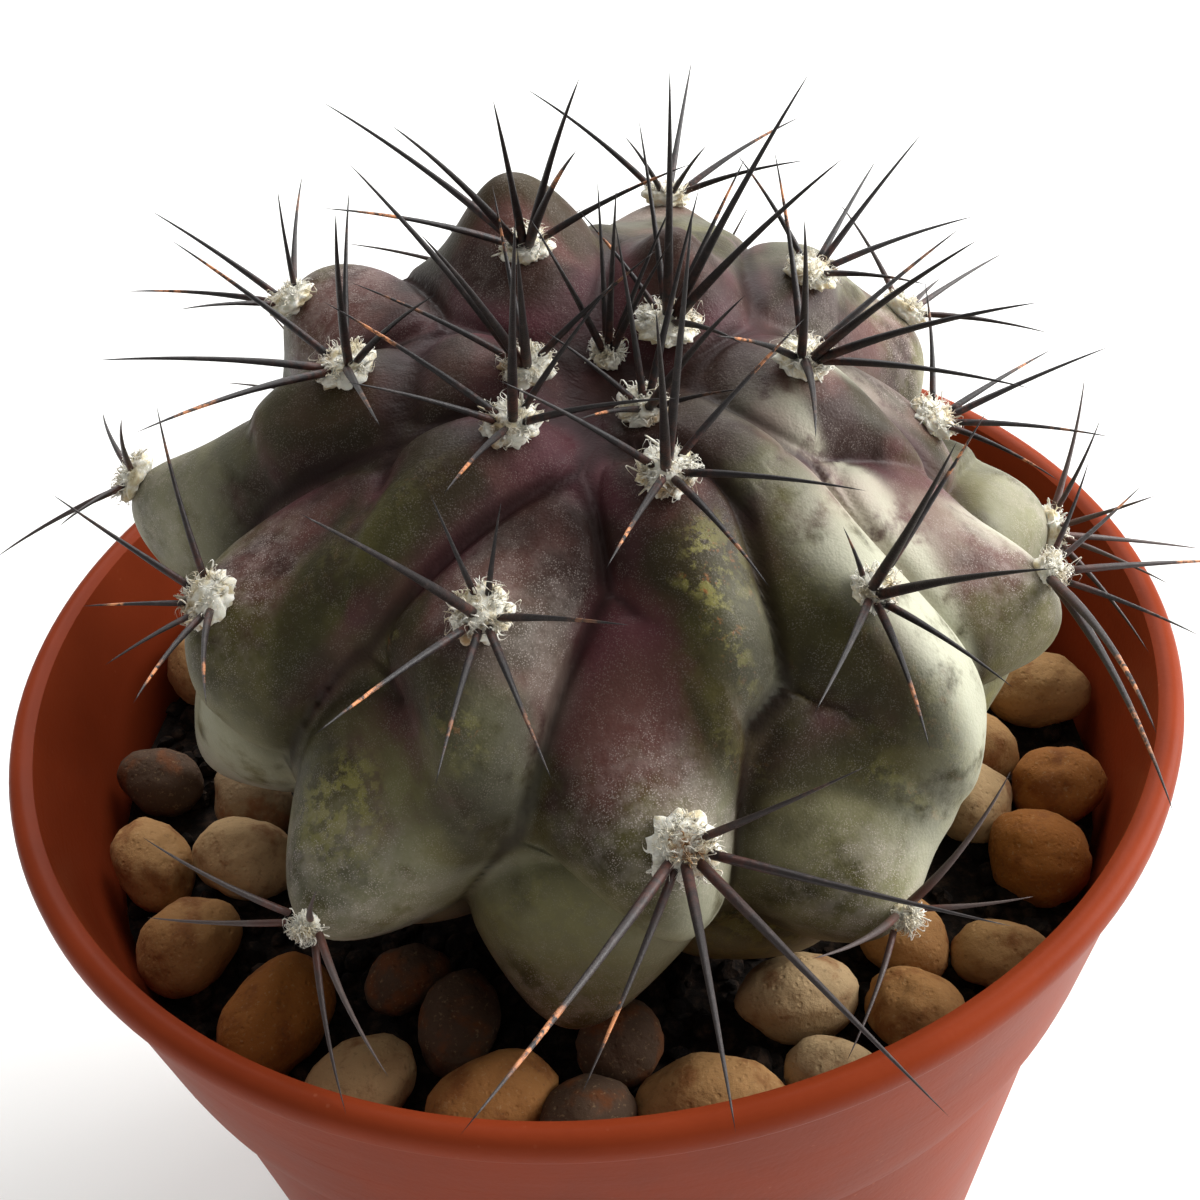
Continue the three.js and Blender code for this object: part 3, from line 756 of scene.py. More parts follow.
@dataclass
class Pot:
    """The nursery pot: a tapered wall, a tall collar with a rolled rim, a floor and drainage holes."""

    height: float = 55.0
    rim_radius: float = 32.5
    collar_drop: float = 13.9
    collar_foot: float = 29.6
    wall_top: float = 28.5
    base_radius: float = 22.4
    wall: float = 1.1
    floor: float = 1.6
    bead: float = 1.7
    drain_holes: int = 6
    drain_radius: float = 2.4
    drain_circle: float = 15.0
    sides: int = 192

    def inner_radius(self, z: float) -> float:
        """Gives the bore's radius at a height."""
        foot = self.height - self.collar_drop
        if z > foot:
            share = (z - foot) / self.collar_drop
            return self.collar_foot - self.wall + share * (self.rim_radius - 0.3 - self.collar_foot)
        return self.base_radius - self.wall + z / (foot - 1.2) * (self.wall_top - self.base_radius)

    def profile(self) -> list[Point]:
        """Traces the wall from the base's edge up the outside, over the rim and down to the inner floor."""
        foot, top, bead = self.height - self.collar_drop, self.height, self.bead
        outside = [(self.base_radius - 0.6, 0.0), (self.base_radius - 0.18, 0.16), (self.base_radius, 0.6)]
        wall = [
            (self.base_radius + share * (self.wall_top - self.base_radius), 0.6 + share * (foot - 1.7))
            for share in (0.02, 0.25, 0.5, 0.75, 0.97, 1.0)
        ]
        collar = [
            (self.collar_foot - 0.35, foot - 0.32), (self.collar_foot - 0.08, foot - 0.1),
            (self.collar_foot, foot + 0.2),
        ]
        under = self.rim_radius - 0.5
        collar += [
            (self.collar_foot + share * (under - self.collar_foot), foot + share * (self.collar_drop - bead))
            for share in (0.1, 0.4, 0.7, 0.96, 1.0)
        ]
        roll = [
            (self.rim_radius - 0.12, top - bead + 0.12), (self.rim_radius - 0.02, top - bead + 0.36),
            (self.rim_radius, top - 0.8), (self.rim_radius - 0.06, top - 0.42),
            (self.rim_radius - 0.25, top - 0.14), (self.rim_radius - 0.55, top - 0.02),
            (self.rim_radius - 0.8, top), (self.rim_radius - 1.05, top - 0.06),
            (self.inner_radius(top) + 0.02, top - 0.26), (self.inner_radius(top) - 0.08, top - 0.6),
        ]
        heights = (top - 1.4, top - 5, top - 9, foot + 0.9, foot + 0.4, foot - 0.4, foot - 1.2, 28, 14, 3.4)
        inside = [(self.inner_radius(z), z) for z in heights]
        floor = [
            (self.inner_radius(self.floor) - 0.1, self.floor + 0.5), (self.inner_radius(0) - 0.6, self.floor),
        ]
        return outside + wall + collar + roll + inside + floor

    def build(self) -> bpy.types.Object:
        """Raises the pot from a disc, ring by ring along the profile, and cuts the drainage holes.

        Returns:
            The pot.
        """
        rings = self.profile()
        radius, level = rings[0]
        bpy.ops.object.select_all(action="DESELECT")
        bpy.ops.mesh.primitive_circle_add(vertices=self.sides, radius=radius * MM, fill_type="NGON")
        pot = bpy.context.object
        pot.name = "pot_shell"
        with edit_mode(pot):
            bpy.ops.mesh.select_all(action="SELECT")
            for next_radius, next_level in rings[1:]:
                rise = {"value": (0, 0, (next_level - level) * MM)}
                bpy.ops.mesh.extrude_region_move(TRANSFORM_OT_translate=rise)
                share = next_radius / radius
                bpy.ops.transform.resize(value=(share, share, 1), center_override=(0, 0, next_level * MM))
                radius, level = next_radius, next_level
        face_outwards(pot)
        for k in range(self.drain_holes):
            self.drill(pot, 2 * math.pi * k / self.drain_holes)
        bpy.ops.object.select_all(action="DESELECT")
        pot.select_set(True)
        bpy.context.view_layer.objects.active = pot
        bpy.ops.object.shade_smooth_by_angle(angle=math.radians(35))
        pot.data.materials.clear()
        pot.data.materials.append(PotPlastic().material())
        mount_piece(pot, Slot.POT, "pot")
        return pot

    def drill(self, pot: bpy.types.Object, azimuth: float) -> None:
        """Cuts one drainage hole with a softened edge.

        Args:
            pot: The pot.
            azimuth: The hole's direction from the axis, in radians.
        """
        at = (math.sin(azimuth) * self.drain_circle * MM, -math.cos(azimuth) * self.drain_circle * MM)
        bpy.ops.object.select_all(action="DESELECT")
        bpy.ops.mesh.primitive_cylinder_add(
            vertices=32, radius=self.drain_radius * MM, depth=3 * self.floor * MM,
            location=(*at, self.floor / 2 * MM),
        )
        cutter = bpy.context.object
        apply_modifier(pot, "BOOLEAN", object=cutter, operation="DIFFERENCE", solver="EXACT")
        bpy.data.objects.remove(cutter)


# The plant's form


@dataclass(frozen=True)
class Skin:
    """Places on the stem's smooth outer face: points, outward normals and the ways to the crown."""

    point: np.ndarray
    normal: np.ndarray
    up: np.ndarray


@dataclass(frozen=True)
class Relief:
    """The stem's surface at many places, with what the skin's material reads there."""

    point: np.ndarray
    order: np.ndarray
    inside: np.ndarray
    lift: np.ndarray
    across: np.ndarray
    reach: np.ndarray
    seam: np.ndarray
    edge: np.ndarray
    weight: np.ndarray


@dataclass(frozen=True)
class Shares:
    """Which body each of many places belongs to, how far inside it they lie and how deep they are creased."""

    near: np.ndarray
    inside: np.ndarray
    crease: np.ndarray
    seam: np.ndarray
    edge: np.ndarray
    weight: np.ndarray


@dataclass
class StemForm:
    """The rule of the stem: where each tubercle grows, how it swells and where the creases run."""

    radius: float = 25.3
    equator: float = 62.0
    crown_rise: float = 14.8
    underside_drop: float = 17.8
    crown_dip: float = 2.0
    crown_dip_radius: float = 4.0
    root_length: float = 13.0
    root_from: float = 150.0
    lean_pivot: float = 46.0
    lean_forward: float = 11.0
    lean_right: float = 5.0
    offset: Point = (0.4, 1.1)
    tubercles: int = 35
    divergence: float = 64.6
    first_azimuth: float = 47.0
    spiral_radius: float = 22.0
    chin_drag: float = 0.2
    chin_radius: float = 0.8
    nose_rise: float = 0.08
    nose_radius: float = 0.35
    keel_rise: float = 0.05
    keel_width: float = 0.35
    bare_to: float = 135.0
    bare_fade: float = 20.0
    body_stretch: float = 0.45
    crease_corner: float = 6.0
    crease_blend: float = 1.2
    merge_step: int = 11
    merge: Point = (0.04, 0.55)
    merge_from: float = -0.45
    merge_over: float = 0.9
    shifts: dict[int, Point] = field(
        default_factory=lambda: {
            0: (-12, 0.4), 1: (75, 0.1), 2: (-33, 0.55), 3: (15, -0.4), 4: (-5, -0.1), 5: (3.5, -0.6),
            6: (20, 0.1), 7: (-9, 3), 8: (0, -1.3), 9: (-12, 0.5), 10: (-2, 0.16), 11: (3, 0.17), 12: (0, 2),
            13: (0, 1.5), 14: (0, 1.5), 15: (-4.9, 0.5), 16: (2.4, 0.4), 17: (6, -0.4), 18: (0, 1),
            19: (0, 2), 20: (0, -0.1), 21: (0, 0.7), 22: (-1, -0.5), 27: (0, -0.5),
        }
    )
    body_shifts: dict[int, Point] = field(
        default_factory=lambda: {
            1: (0.6, 0), 2: (-0.6, 0.6), 7: (0, 0.4), 9: (-0.1, 0), 10: (0.1, 0.05), 16: (0, -0.2),
            21: (0.45, 0.05), 22: (0.2, -0.15), 27: (0.2, 0),
        }
    )
    body_shares: dict[int, float] = field(default_factory=lambda: {1: -0.4, 2: 0.8, 8: 0.3})
    swellings: tuple[tuple[float, float, float, float], ...] = (
        (31, 197, 3.6, 3.6), (57, 215, 3.8, 5.2), (18, 156, 2.4, 2.2), (47, 102, -2.5, 6.3),
        (64, 106, -4.5, 4.5), (69, 244, -5.2, 5.5), (70, 257, 3.2, 5.9), (56, 203, -6, 5),
        (115, 61, -3, 8.8), (106, 351, 1.3, 5.3), (73, 99, 2.3, 4.5), (82, 322, 1.8, 4.5),
        (81, 29, 0.8, 4.5), (72, 268, -0.8, 4),
    )

    def __post_init__(self) -> None:
        """Works out the places of the tubercles and of the bodies that carry them."""
        steps = np.arange(self.tubercles)
        self.widths = np.array([self.half_width(n) for n in steps])
        spots = np.array([self.spot(n) for n in steps])
        self.angles, self.azimuths = spots[:, 0], spots[:, 1]
        self.seats = self.skin(self.angles, self.azimuths)
        self.sides = np.cross(self.seats.up, self.seats.normal)
        rise = np.clip(0.095 * steps - 1.1, -0.8, 0.45)
        moves = np.array([self.body_shifts.get(n, (0, 0)) for n in steps])
        moves = moves + np.stack([rise, 0 * rise], axis=1)
        moves *= self.widths[:, None]
        self.middles = self.seats.point + self.seats.up * moves[:, :1] + self.sides * moves[:, 1:]
        self.shares = np.array([self.body_shares.get(n, 0) for n in steps]) * self.widths**2
        apart = np.sqrt(self.claims(self.middles)[0])
        self.between = (apart + apart.T) / 2 + np.eye(self.tubercles)
        self.depths = np.minimum(0.6, 0.36 + 0.012 * steps)
        self.cones = np.minimum(0.62, 0.08 + 0.026 * steps)
        self.lean = (
            Matrix.Translation((*self.offset, self.lean_pivot))
            @ Matrix.Rotation(math.radians(self.lean_forward), 4, "X")
            @ Matrix.Rotation(math.radians(self.lean_right), 4, "Y")
            @ Matrix.Translation((0, 0, -self.lean_pivot))
        )

    def crown_angle(self, n: float) -> float:
        """Gives the angle from the crown at a step of the spiral, in degrees."""
        return 3.5 + 2.5 * n + 0.058 * n * n

    def half_width(self, n: int) -> float:
        """Gives half the width of a tubercle from the share of the surface that falls to it."""
        ring = 2 * math.pi * self.radius * math.sin(self.crown_angle(n) * DEGREE)
        step = (self.crown_angle(n + 0.5) - self.crown_angle(n - 0.5)) * DEGREE * self.spiral_radius
        return 0.5 * math.sqrt(max(ring, 12) * step)

    def spot(self, n: int) -> Point:
        """Gives a tubercle's angle from the crown and its azimuth, in radians."""
        turn, steps = self.shifts.get(n, (6 * wobble(n, 1), 0.3 * wobble(n, 2)))
        angle = self.crown_angle(n + steps) * DEGREE - self.chin_drag * self.widths[n] / self.spiral_radius
        return angle, (self.first_azimuth + self.divergence * n + turn) * DEGREE

    def skin(self, angle: np.ndarray, azimuth: np.ndarray) -> Skin:
        """Finds places on the smooth outer face.

        Args:
            angle: Angles from the crown in radians.
            azimuth: Azimuths in radians.

        Returns:
            The places.
        """
        upper = angle < math.pi / 2
        rise = np.where(upper, self.crown_rise, self.underside_drop)
        radius = self.radius * np.sin(angle)
        dip = self.crown_dip * np.exp(-((radius / self.crown_dip_radius) ** 2)) * upper
        past = np.maximum(0, (angle / DEGREE - self.root_from) / (180 - self.root_from))
        height = self.equator + rise * np.cos(angle) - dip - self.root_length * past**2
        out = np.stack([np.sin(azimuth), -np.cos(azimuth), np.zeros_like(azimuth)], axis=-1)
        z_axis = np.array([0.0, 0.0, 1.0])
        normal = unit(out * (np.sin(angle) / self.radius)[:, None] + z_axis * (np.cos(angle) / rise)[:, None])
        up = unit(out * (-np.cos(angle) * self.radius)[:, None] + z_axis * (np.sin(angle) * rise)[:, None])
        return Skin(out * radius[:, None] + z_axis * height[:, None], normal, up)

    def claims(self, points: np.ndarray) -> tuple[np.ndarray, np.ndarray]:
        """Finds how far points are from the middle of every body, as the surface is shared out.

        Args:
            points: Points of the upright plant.

        Returns:
            The squared distances, a row for each point, in which lengths towards the crown count less,
            and how many half widths each point lies to the side of each body's middle line.
        """
        gaps = points[:, None] - self.middles[None]
        ways = (self.seats.up, self.sides, self.seats.normal)
        along, across, deep = ((gaps * way).sum(axis=2) for way in ways)
        return (self.body_stretch * along) ** 2 + across**2 + deep**2, across / self.widths

    def borders(self, points: np.ndarray) -> Shares:
        """Shares the surface out between the bodies and finds how near each point is to a crease.

        Args:
            points: Points of the smooth outer face.

        Returns:
            The body of each point, its place between creases and the sizes that hold there.
        """
        claims, across = self.claims(points)
        claims = claims - self.shares
        near = claims.argmin(axis=1)
        rows = np.arange(len(near))
        border = (claims - claims[rows, near][:, None]) / (2 * self.between[near])
        weight = np.exp(-self.crease_blend * border) / self.widths
        weight /= weight.sum(axis=1)[:, None]
        own = (self.widths, self.depths * self.widths, self.cones)
        width, depth, cone = (weight @ sizes for sizes in own)
        fade = ease(((across[rows, near][:, None] + across) / 2 - self.merge_from) / self.merge_over)
        shallow = self.merge[0] + (self.merge[1] - self.merge[0]) * fade
        shallow = shallow * (self.widths[near][:, None] + self.widths) / 2
        partner = np.abs(np.arange(self.tubercles)[None] - near[:, None]) == self.merge_step
        border[rows, near] = np.inf
        edge = border.min(axis=1)
        border = border + np.where(partner, shallow, 0)
        sharp = self.crease_corner / width
        nearest = -np.log(np.exp(-sharp[:, None] * border).sum(axis=1)) / sharp
        inside = np.clip(nearest / width, 0, 1)
        dome = (1 - cone) * np.sqrt(1 - (1 - inside) ** 2) + cone * inside
        return Shares(near, inside, depth * (1 - dome), border.min(axis=1), edge, weight)

    def relief(self, angle: np.ndarray, azimuth: np.ndarray) -> Relief:
        """Swells each tubercle's body into a dome and creases the borders between bodies.

        Args:
            angle: Angles from the crown in radians.
            azimuth: Azimuths in radians.

        Returns:
            The surface in the plant's own upright frame.
        """
        skin = self.skin(angle, azimuth)
        shares = self.borders(skin.point)
        near, width = shares.near, self.widths[shares.near]
        gap = skin.point - self.seats.point[near]
        reach = np.linalg.norm(gap, axis=1)
        lift = (gap * self.seats.up[near]).sum(axis=1) / width
        across = (gap * self.sides[near]).sum(axis=1) / width
        nose = self.nose_rise * np.exp(-((reach / width / self.nose_radius) ** 2))
        keel = self.keel_rise * np.exp(-((across / self.keel_width) ** 2))
        keel = keel * ease(-2 * lift) * ease(3 * shares.inside)
        bare = 1 - np.clip((angle / DEGREE - self.bare_to) / self.bare_fade, 0, 1)
        rise = bare * ((nose + keel) * width - shares.crease)
        drag = bare * width * self.chin_drag * np.exp(-((reach / width / self.chin_radius) ** 2))
        for crown_angle, turn, height, radius in self.swellings:
            middle = self.skin(np.array([crown_angle * DEGREE]), np.array([turn * DEGREE])).point
            rise += height * np.exp(-((skin.point - middle) ** 2).sum(axis=1) / radius**2)
        point = skin.point + skin.normal * rise[:, None] - skin.up * drag[:, None]
        order = shares.weight @ np.arange(self.tubercles) / self.tubercles
        gaps = skin.point[:, None] - self.seats.point[None]
        shown = shares.weight / self.widths
        lift, across = ((shown * (gaps * way).sum(axis=2)).sum(axis=1) for way in (self.seats.up, self.sides))
        inside = shares.inside * width
        return Relief(point, order, inside, lift, across, reach, shares.seam, shares.edge, shares.weight)

    def leaned(self, points: np.ndarray) -> np.ndarray:
        """Leans points of the upright plant into the pot's frame."""
        turn = np.array(self.lean)
        return points @ turn[:3, :3].T + turn[:3, 3]

    def turned(self, vectors: np.ndarray) -> np.ndarray:
        """Leans directions."""
        return vectors @ np.array(self.lean)[:3, :3].T


@dataclass
class Stem:
    """The living body with its tubercles; each body's tint says how green it is, how pale its right side is,
    from chalky patches and painted light, and how corky it is.
    """

    form: StemForm
    segments: int = 512
    rings: int = 190
    crown_share: float = 0.68
    old_from: int = 23
    old_tint: tuple[float, float, float] = (0.6, 0.5, 0.3)
    tints: dict[int, tuple[float, float, float]] = field(
        default_factory=lambda: {
            4: (0.1, 0, 0.1), 5: (0.3, 0, 1), 6: (0, 1, 0), 7: (0, 0.2, 0), 9: (0.3, 0, 0),
            10: (0.1, 0.1, 0.8), 11: (0.1, 1, 0.15), 13: (0, 0.3, 0), 14: (0.2, 0, 0), 15: (0.6, 0, 0.3),
            16: (0.8, 0.8, 0.6), 17: (0.6, 1, 0.2), 18: (0, 0.7, 0), 19: (0.3, 0.3, 0),
            20: (1, 0.3, 0.3), 21: (0.7, 0, 1), 22: (1, 0.7, 0.9), 26: (0.8, 0.8, 0.2), 27: (1, 0, 0.1),
        }
    )

    def build(self) -> bpy.types.Object:
        """Shapes a sphere by the plant's rule.

        Returns:
            The stem.
        """
        bpy.ops.object.select_all(action="DESELECT")
        bpy.ops.mesh.primitive_uv_sphere_add(segments=self.segments, ring_count=self.rings, radius=1)
        stem = bpy.context.object
        stem.name = "stem"
        rays = unit(coordinates(stem.data))
        polar = np.arccos(np.clip(rays[:, 2], -1, 1)) / math.pi
        angle = math.pi * (self.crown_share * polar + (1 - self.crown_share) * polar**4)
        azimuth = np.arctan2(rays[:, 0], -rays[:, 1])
        relief = self.form.relief(angle, azimuth)
        stem.data.vertices.foreach_set("co", (self.form.leaned(relief.point) * MM).ravel())
        marks = {
            "age": relief.order, "inside": relief.inside, "lift": relief.lift, "across": relief.across,
            "reach": relief.reach, "down": angle / math.pi, "seam": relief.seam, "edge": relief.edge,
        }
        steps = range(self.form.tubercles)
        plain = [(0.0, 0.0, 0.0) if n < self.old_from else self.old_tint for n in steps]
        tints = relief.weight @ np.array([self.tints.get(n, tint) for n, tint in enumerate(plain)])
        # The middle tint is the chalky coat and the painted light on the right side.
        marks.update(zip(("green", "chalk_and_light", "cork"), tints.T))
        for name, values in marks.items():
            set_attribute(stem.data, name, values)
        stem.data.update()
        face_outwards(stem)
        apply_modifier(stem, "SMOOTH", factor=0.5, iterations=3)
        bpy.ops.object.shade_smooth()
        stem.data.materials.append(StemSkin().material())
        mount_piece(stem, Slot.FLESH, "cactus_body")
        return stem


# Areoles


@dataclass
class Areoles:
    """The wool and spines of every tubercle above the gravel."""

    form: StemForm
    count: int = 26
    gap: float = 0.32
    pad_height: float = 0.9
    pad_lift: float = 0.3
    spine_radius: float = 0.25
    spine_sink: float = 0.45
    spine_bend: float = 0.035
    fibres: int = 200
    straw: int = 60
    scarred: tuple[int, ...] = (16,)
    tuft_radius: float = 1.25
    tufts: dict[int, float] = field(
        default_factory=lambda: {
            1: 0.7, 2: 1.5, 9: 1.4, 11: 0.95, 15: 1.3, 16: 1.45, 17: 0.8, 21: 0.5, 22: 0.5,
        }
    )
    spines: dict[int, list[tuple[float, float, float]]] = field(
        default_factory=lambda: {
            0: [(-164, 28, 14.5), (159, 50, 5), (-50, 45, 6), (-105, 55, 6), (60, 30, 10), (5, 20, 9)],
            1: [(0, 6, 10), (60, 24, 8.5), (-38, 22, 8.5), (120, 28, 7.5), (180, 20, 8), (-120, 28, 7.5)],
            2: [
                (-9, 14, 15.5), (-92, 18, 15.5), (-80, 31, 14.5), (87, 50, 6), (-52, 60, 8), (180, 45, 8),
                (130, 40, 9),
            ],
            3: [(138, 24, 15.5), (102, 28, 14.5), (72, 31, 15), (-22, 50, 7.5), (-110, 55, 8), (180, 60, 8)],
            4: [(92, 14, 15.5), (-120, 62, 9), (-161, 50, 7.5), (61, 58, 9), (0, 50, 7), (140, 60, 8)],
            5: [
                (-134, 15, 15), (7, 8, 14), (137, 60, 9), (178, 62, 10), (-142, 62, 9), (-74, 50, 9),
                (63, 65, 8),
            ],
            6: [
                (-45, 30, 13), (-104, 28, 14), (-118, 40, 14), (-134, 62, 10.5), (-70, 65, 12),
                (-30, 60, 7.5), (84, 60, 9.5), (150, 60, 9),
            ],
            7: [(160, 60, 7.5), (-150, 62, 8), (95, 66, 6.5), (180, 38, 8.5), (-85, 66, 6)],
            8: [
                (27, 35, 13.5), (10, 48, 14.5), (3, 36, 14.5), (145, 60, 11.5), (96, 64, 9.5), (51, 42, 14.5),
                (-52, 62, 8.5),
            ],
            9: [
                (38, 32, 13.5), (-151, 60, 10), (152, 58, 10.5), (122, 64, 10.5), (57, 68, 12), (16, 55, 8),
                (-90, 60, 8),
            ],
            10: [
                (-134, 15, 14.5), (-166, 55, 9.5), (90, 50, 8.5), (-45, 38, 5), (0, 38, 4.5), (161, 60, 9),
                (133, 60, 10),
            ],
            11: [
                (-63, 15, 15.5), (-131, 19, 15.5), (-158, 45, 8.5), (-132, 58, 9.5), (-103, 62, 9.5),
                (-16, 45, 2.8), (70, 60, 8),
            ],
            12: [(155, 62, 8), (-155, 62, 8), (180, 40, 9), (95, 66, 7), (-100, 66, 7)],
            13: [(22, 60, 5.5), (-21, 60, 5.5), (-70, 70, 7), (100, 60, 9), (-130, 60, 9), (180, 45, 10)],
            14: [(90, 60, 5.5), (-30, 25, 5.5), (150, 60, 8), (180, 42, 9), (-115, 62, 8)],
            15: [(-159, 45, 4.5), (155, 50, 4.5), (112, 52, 7), (86, 62, 8.5), (-60, 62, 8), (-110, 60, 8)],
            16: [
                (60, 45, 9), (106, 66, 12.5), (140, 38, 16), (-173, 28, 15), (-124, 45, 16.5), (-146, 62, 10),
            ],
            17: [
                (-169, 55, 6.5), (-79, 60, 16.5), (-96, 67, 15.5), (75, 60, 4.5), (108, 55, 5.5),
                (150, 60, 9),
            ],
            18: [(160, 62, 8), (-155, 62, 8), (180, 40, 9), (90, 66, 7), (-95, 66, 7)],
            19: [(150, 62, 8), (-160, 62, 8), (180, 38, 9), (85, 66, 7), (-95, 66, 7)],
            20: [(-123, 75, 7.5), (22, 75, 6.5), (160, 60, 8), (80, 65, 5)],
            21: [(-59, 65, 7), (-103, 65, 6), (130, 60, 7), (78, 55, 9), (20, 65, 6)],
            22: [(9, 65, 11), (90, 60, 4.5), (-52, 66, 9.5), (-110, 60, 6)],
        }
    )

    def spines_of(self, n: int) -> list[tuple[float, float, float]]:
        """Gives an areole's spines as clock direction, tilt from straight out, and length."""
        if n in self.spines:
            return self.spines[n]
        ring = [
            (clock + 9 * wobble(n, 10 + k), 62 + 6 * wobble(n, 20 + k), 6.5 + 1.2 * wobble(n, 30 + k))
            for k, clock in enumerate((-105, -64, -25, 25, 64, 105))
        ]
        middle = (180 + 50 * wobble(n, 40), 24 + 8 * wobble(n, 41), 9 + wobble(n, 42))
        return [*ring, middle]

    def needle_blank(self, sides: int, segments: int) -> Blank:
        """Models one straight needle of length one and radius one, drawn out of a disc to a point.

        Args:
            sides: The sides of its section.
            segments: The rings along it.

        Returns:
            Its shape.
        """
        bpy.ops.object.select_all(action="DESELECT")
        bpy.ops.mesh.primitive_circle_add(vertices=sides, radius=1, fill_type="NGON")
        needle = bpy.context.object
        girth = 1.0
        with edit_mode(needle):
            bpy.ops.mesh.select_all(action="SELECT")
            for k in range(1, segments + 1):
                t = k / segments
                bpy.ops.mesh.extrude_region_move(TRANSFORM_OT_translate={"value": (0, 0, 1 / segments)})
                wanted = max(0.04, (1 + 0.12 * math.sin(math.pi * min(1, 2.4 * t))) * (1 - t) ** 0.72)
                share = wanted / girth
                bpy.ops.transform.resize(value=(share, share, 1), center_override=(0, 0, t))
                girth = wanted
            bpy.ops.mesh.merge(type="CENTER")
        face_outwards(needle)
        return Blank.from_object(needle)

    def bent(
        self, blank: Blank, root: np.ndarray, way: np.ndarray, bow: np.ndarray, length: float, girth: float
    ) -> np.ndarray:
        """Lays a needle along a bowed line.

        Args:
            blank: The straight needle.
            root: Where it starts.
            way: Its direction.
            bow: The side it bows to, square to its direction, times the rise at its middle.
            length: Its length.
            girth: Its radius at the root.

        Returns:
            The corners.
        """
        across = np.cross(way, [0.31, 0.17, 0.93])
        across /= np.linalg.norm(across)
        over = np.cross(way, across)
        t = blank.corners[:, 2:3]
        x, y = blank.corners[:, 0:1] * girth, blank.corners[:, 1:2] * girth
        return root + way * t * length + bow * 4 * t * (1 - t) + across * x + over * y

    def frame_of(self, n: int) -> tuple[np.ndarray, np.ndarray, np.ndarray, np.ndarray]:
        """Gives an areole's seat and its side, up and normal directions in the pot's frame."""
        surface = self.form.relief(self.form.angles[n : n + 1], self.form.azimuths[n : n + 1])
        seat = self.form.leaned(surface.point)[0]
        normal, up = self.form.turned(self.form.seats.normal[n]), self.form.turned(self.form.seats.up[n])
        return seat, np.cross(up, normal), up, normal

    def size(self, n: int) -> float:
        """Gives the radius of an areole's wool."""
        return min(2.0, 1.25 + 0.07 * n)

    def build_spines(self, n: int, blank: Blank) -> bpy.types.Object:
        """Sets the spines of one areole.

        Args:
            n: The areole's step on the spiral.
            blank: The straight needle.

        Returns:
            The cluster of spines.
        """
        seat, side, up, normal = self.frame_of(n)
        size = self.size(n)
        root = seat + normal * (self.gap + 0.6 * self.pad_height)
        cluster = Assembly(f"spines_{n:02d}")
        for k, (clock, tilt, length) in enumerate(self.spines_of(n)):
            flat = up * math.cos(clock * DEGREE) + side * math.sin(clock * DEGREE)
            way = normal * math.cos(tilt * DEGREE) + flat * math.sin(tilt * DEGREE)
            bow = (normal - way * normal.dot(way)) * self.spine_bend * length
            start = root + flat * size * 0.75 * math.sin(tilt * DEGREE) - way * self.spine_sink
            girth = self.spine_radius * min(1.0, 0.42 + 0.038 * length)
            corners = self.bent(blank, start, way, bow, length + self.spine_sink, girth)
            banded = max(0.0, wobble(n, 50 + k) + 0.5) if tilt > 44 and n < 18 else 0.0
            weathered = max(0.0, min(1.0, (n - 14) / 8)) * (0.6 + 0.4 * wobble(n, 60 + k))
            cluster.add(blank, corners, along=blank.corners[:, 2], banded=banded, weathered=weathered)
        return cluster.build()

    def build_wool(self, n: int, tuft: Blank, fibre: Blank) -> bpy.types.Object:
        """Packs the wool of one areole: a lumpy pad with curled fibres standing out of it.

        Args:
            n: The areole's step on the spiral.
            tuft: The pad's shape.
            fibre: The straight fibre.

        Returns:
            The wool.
        """
        seat, side, up, normal = self.frame_of(n)
        size = self.tufts.get(n, self.tuft_radius)
        draw = np.random.default_rng(1000 + n)
        basis = np.stack([side, up, normal])
        wool = Assembly(f"wool_{n:02d}")
        turn = draw.uniform(0, 2 * math.pi)
        cosine, sine = math.cos(turn), math.sin(turn)
        spin = np.array([[cosine, -sine, 0], [sine, cosine, 0], [0, 0, 1]])
        lump = tuft.corners @ spin * [size, size * 1.05, self.pad_height * 0.75]
        middle = seat + normal * self.pad_lift
        straw = self.straw if n in self.scarred else 0
        low = np.clip(-lump[:, 1] / size, 0, 1) * 0.8
        scar = 1.6 * np.exp(-((np.hypot(lump[:, 0], lump[:, 1]) / (0.42 * size)) ** 2)) if straw else 0 * low
        wool.add(tuft, middle + lump @ basis, soil=np.maximum(low, scar))
        for k in range(self.fibres + straw):
            clock = draw.uniform(0, 2 * math.pi)
            out = math.sqrt(draw.uniform(0.0, 1.0)) * (1 if k < self.fibres else 0.45)
            flat = side * math.cos(clock) + up * math.sin(clock)
            tall = self.pad_height * 0.6 * math.sqrt(1 - 0.8 * out**2)
            root = middle + flat * size * 0.95 * out + normal * tall
            way = unit(normal * draw.uniform(0.1, 0.8) + flat * (out * 1.2) + draw.normal(0, 0.55, 3))
            curl = np.cross(way, draw.normal(0, 1, 3)) * draw.uniform(0.12, 0.4)
            length = draw.uniform(0.25, 0.65)
            girth = draw.uniform(0.03, 0.08)
            soil = 0.8 * max(0.0, -math.sin(clock) * out) if k < self.fibres else 1.4
            wool.add(fibre, self.bent(fibre, root, way, curl, length, girth), soil=soil)
        return wool.build()

    def tuft_blank(self) -> Blank:
        """Models the lumpy pad of radius one that every areole's wool starts from."""
        bpy.ops.object.select_all(action="DESELECT")
        bpy.ops.mesh.primitive_ico_sphere_add(subdivisions=4, radius=1)
        tuft = bpy.context.object
        texture = bpy.data.textures.new("tufts", "CLOUDS")
        texture.noise_scale = 0.3
        texture.noise_depth = 4
        apply_modifier(tuft, "DISPLACE", texture=texture, strength=0.85, mid_level=0.5)
        return Blank.from_object(tuft)

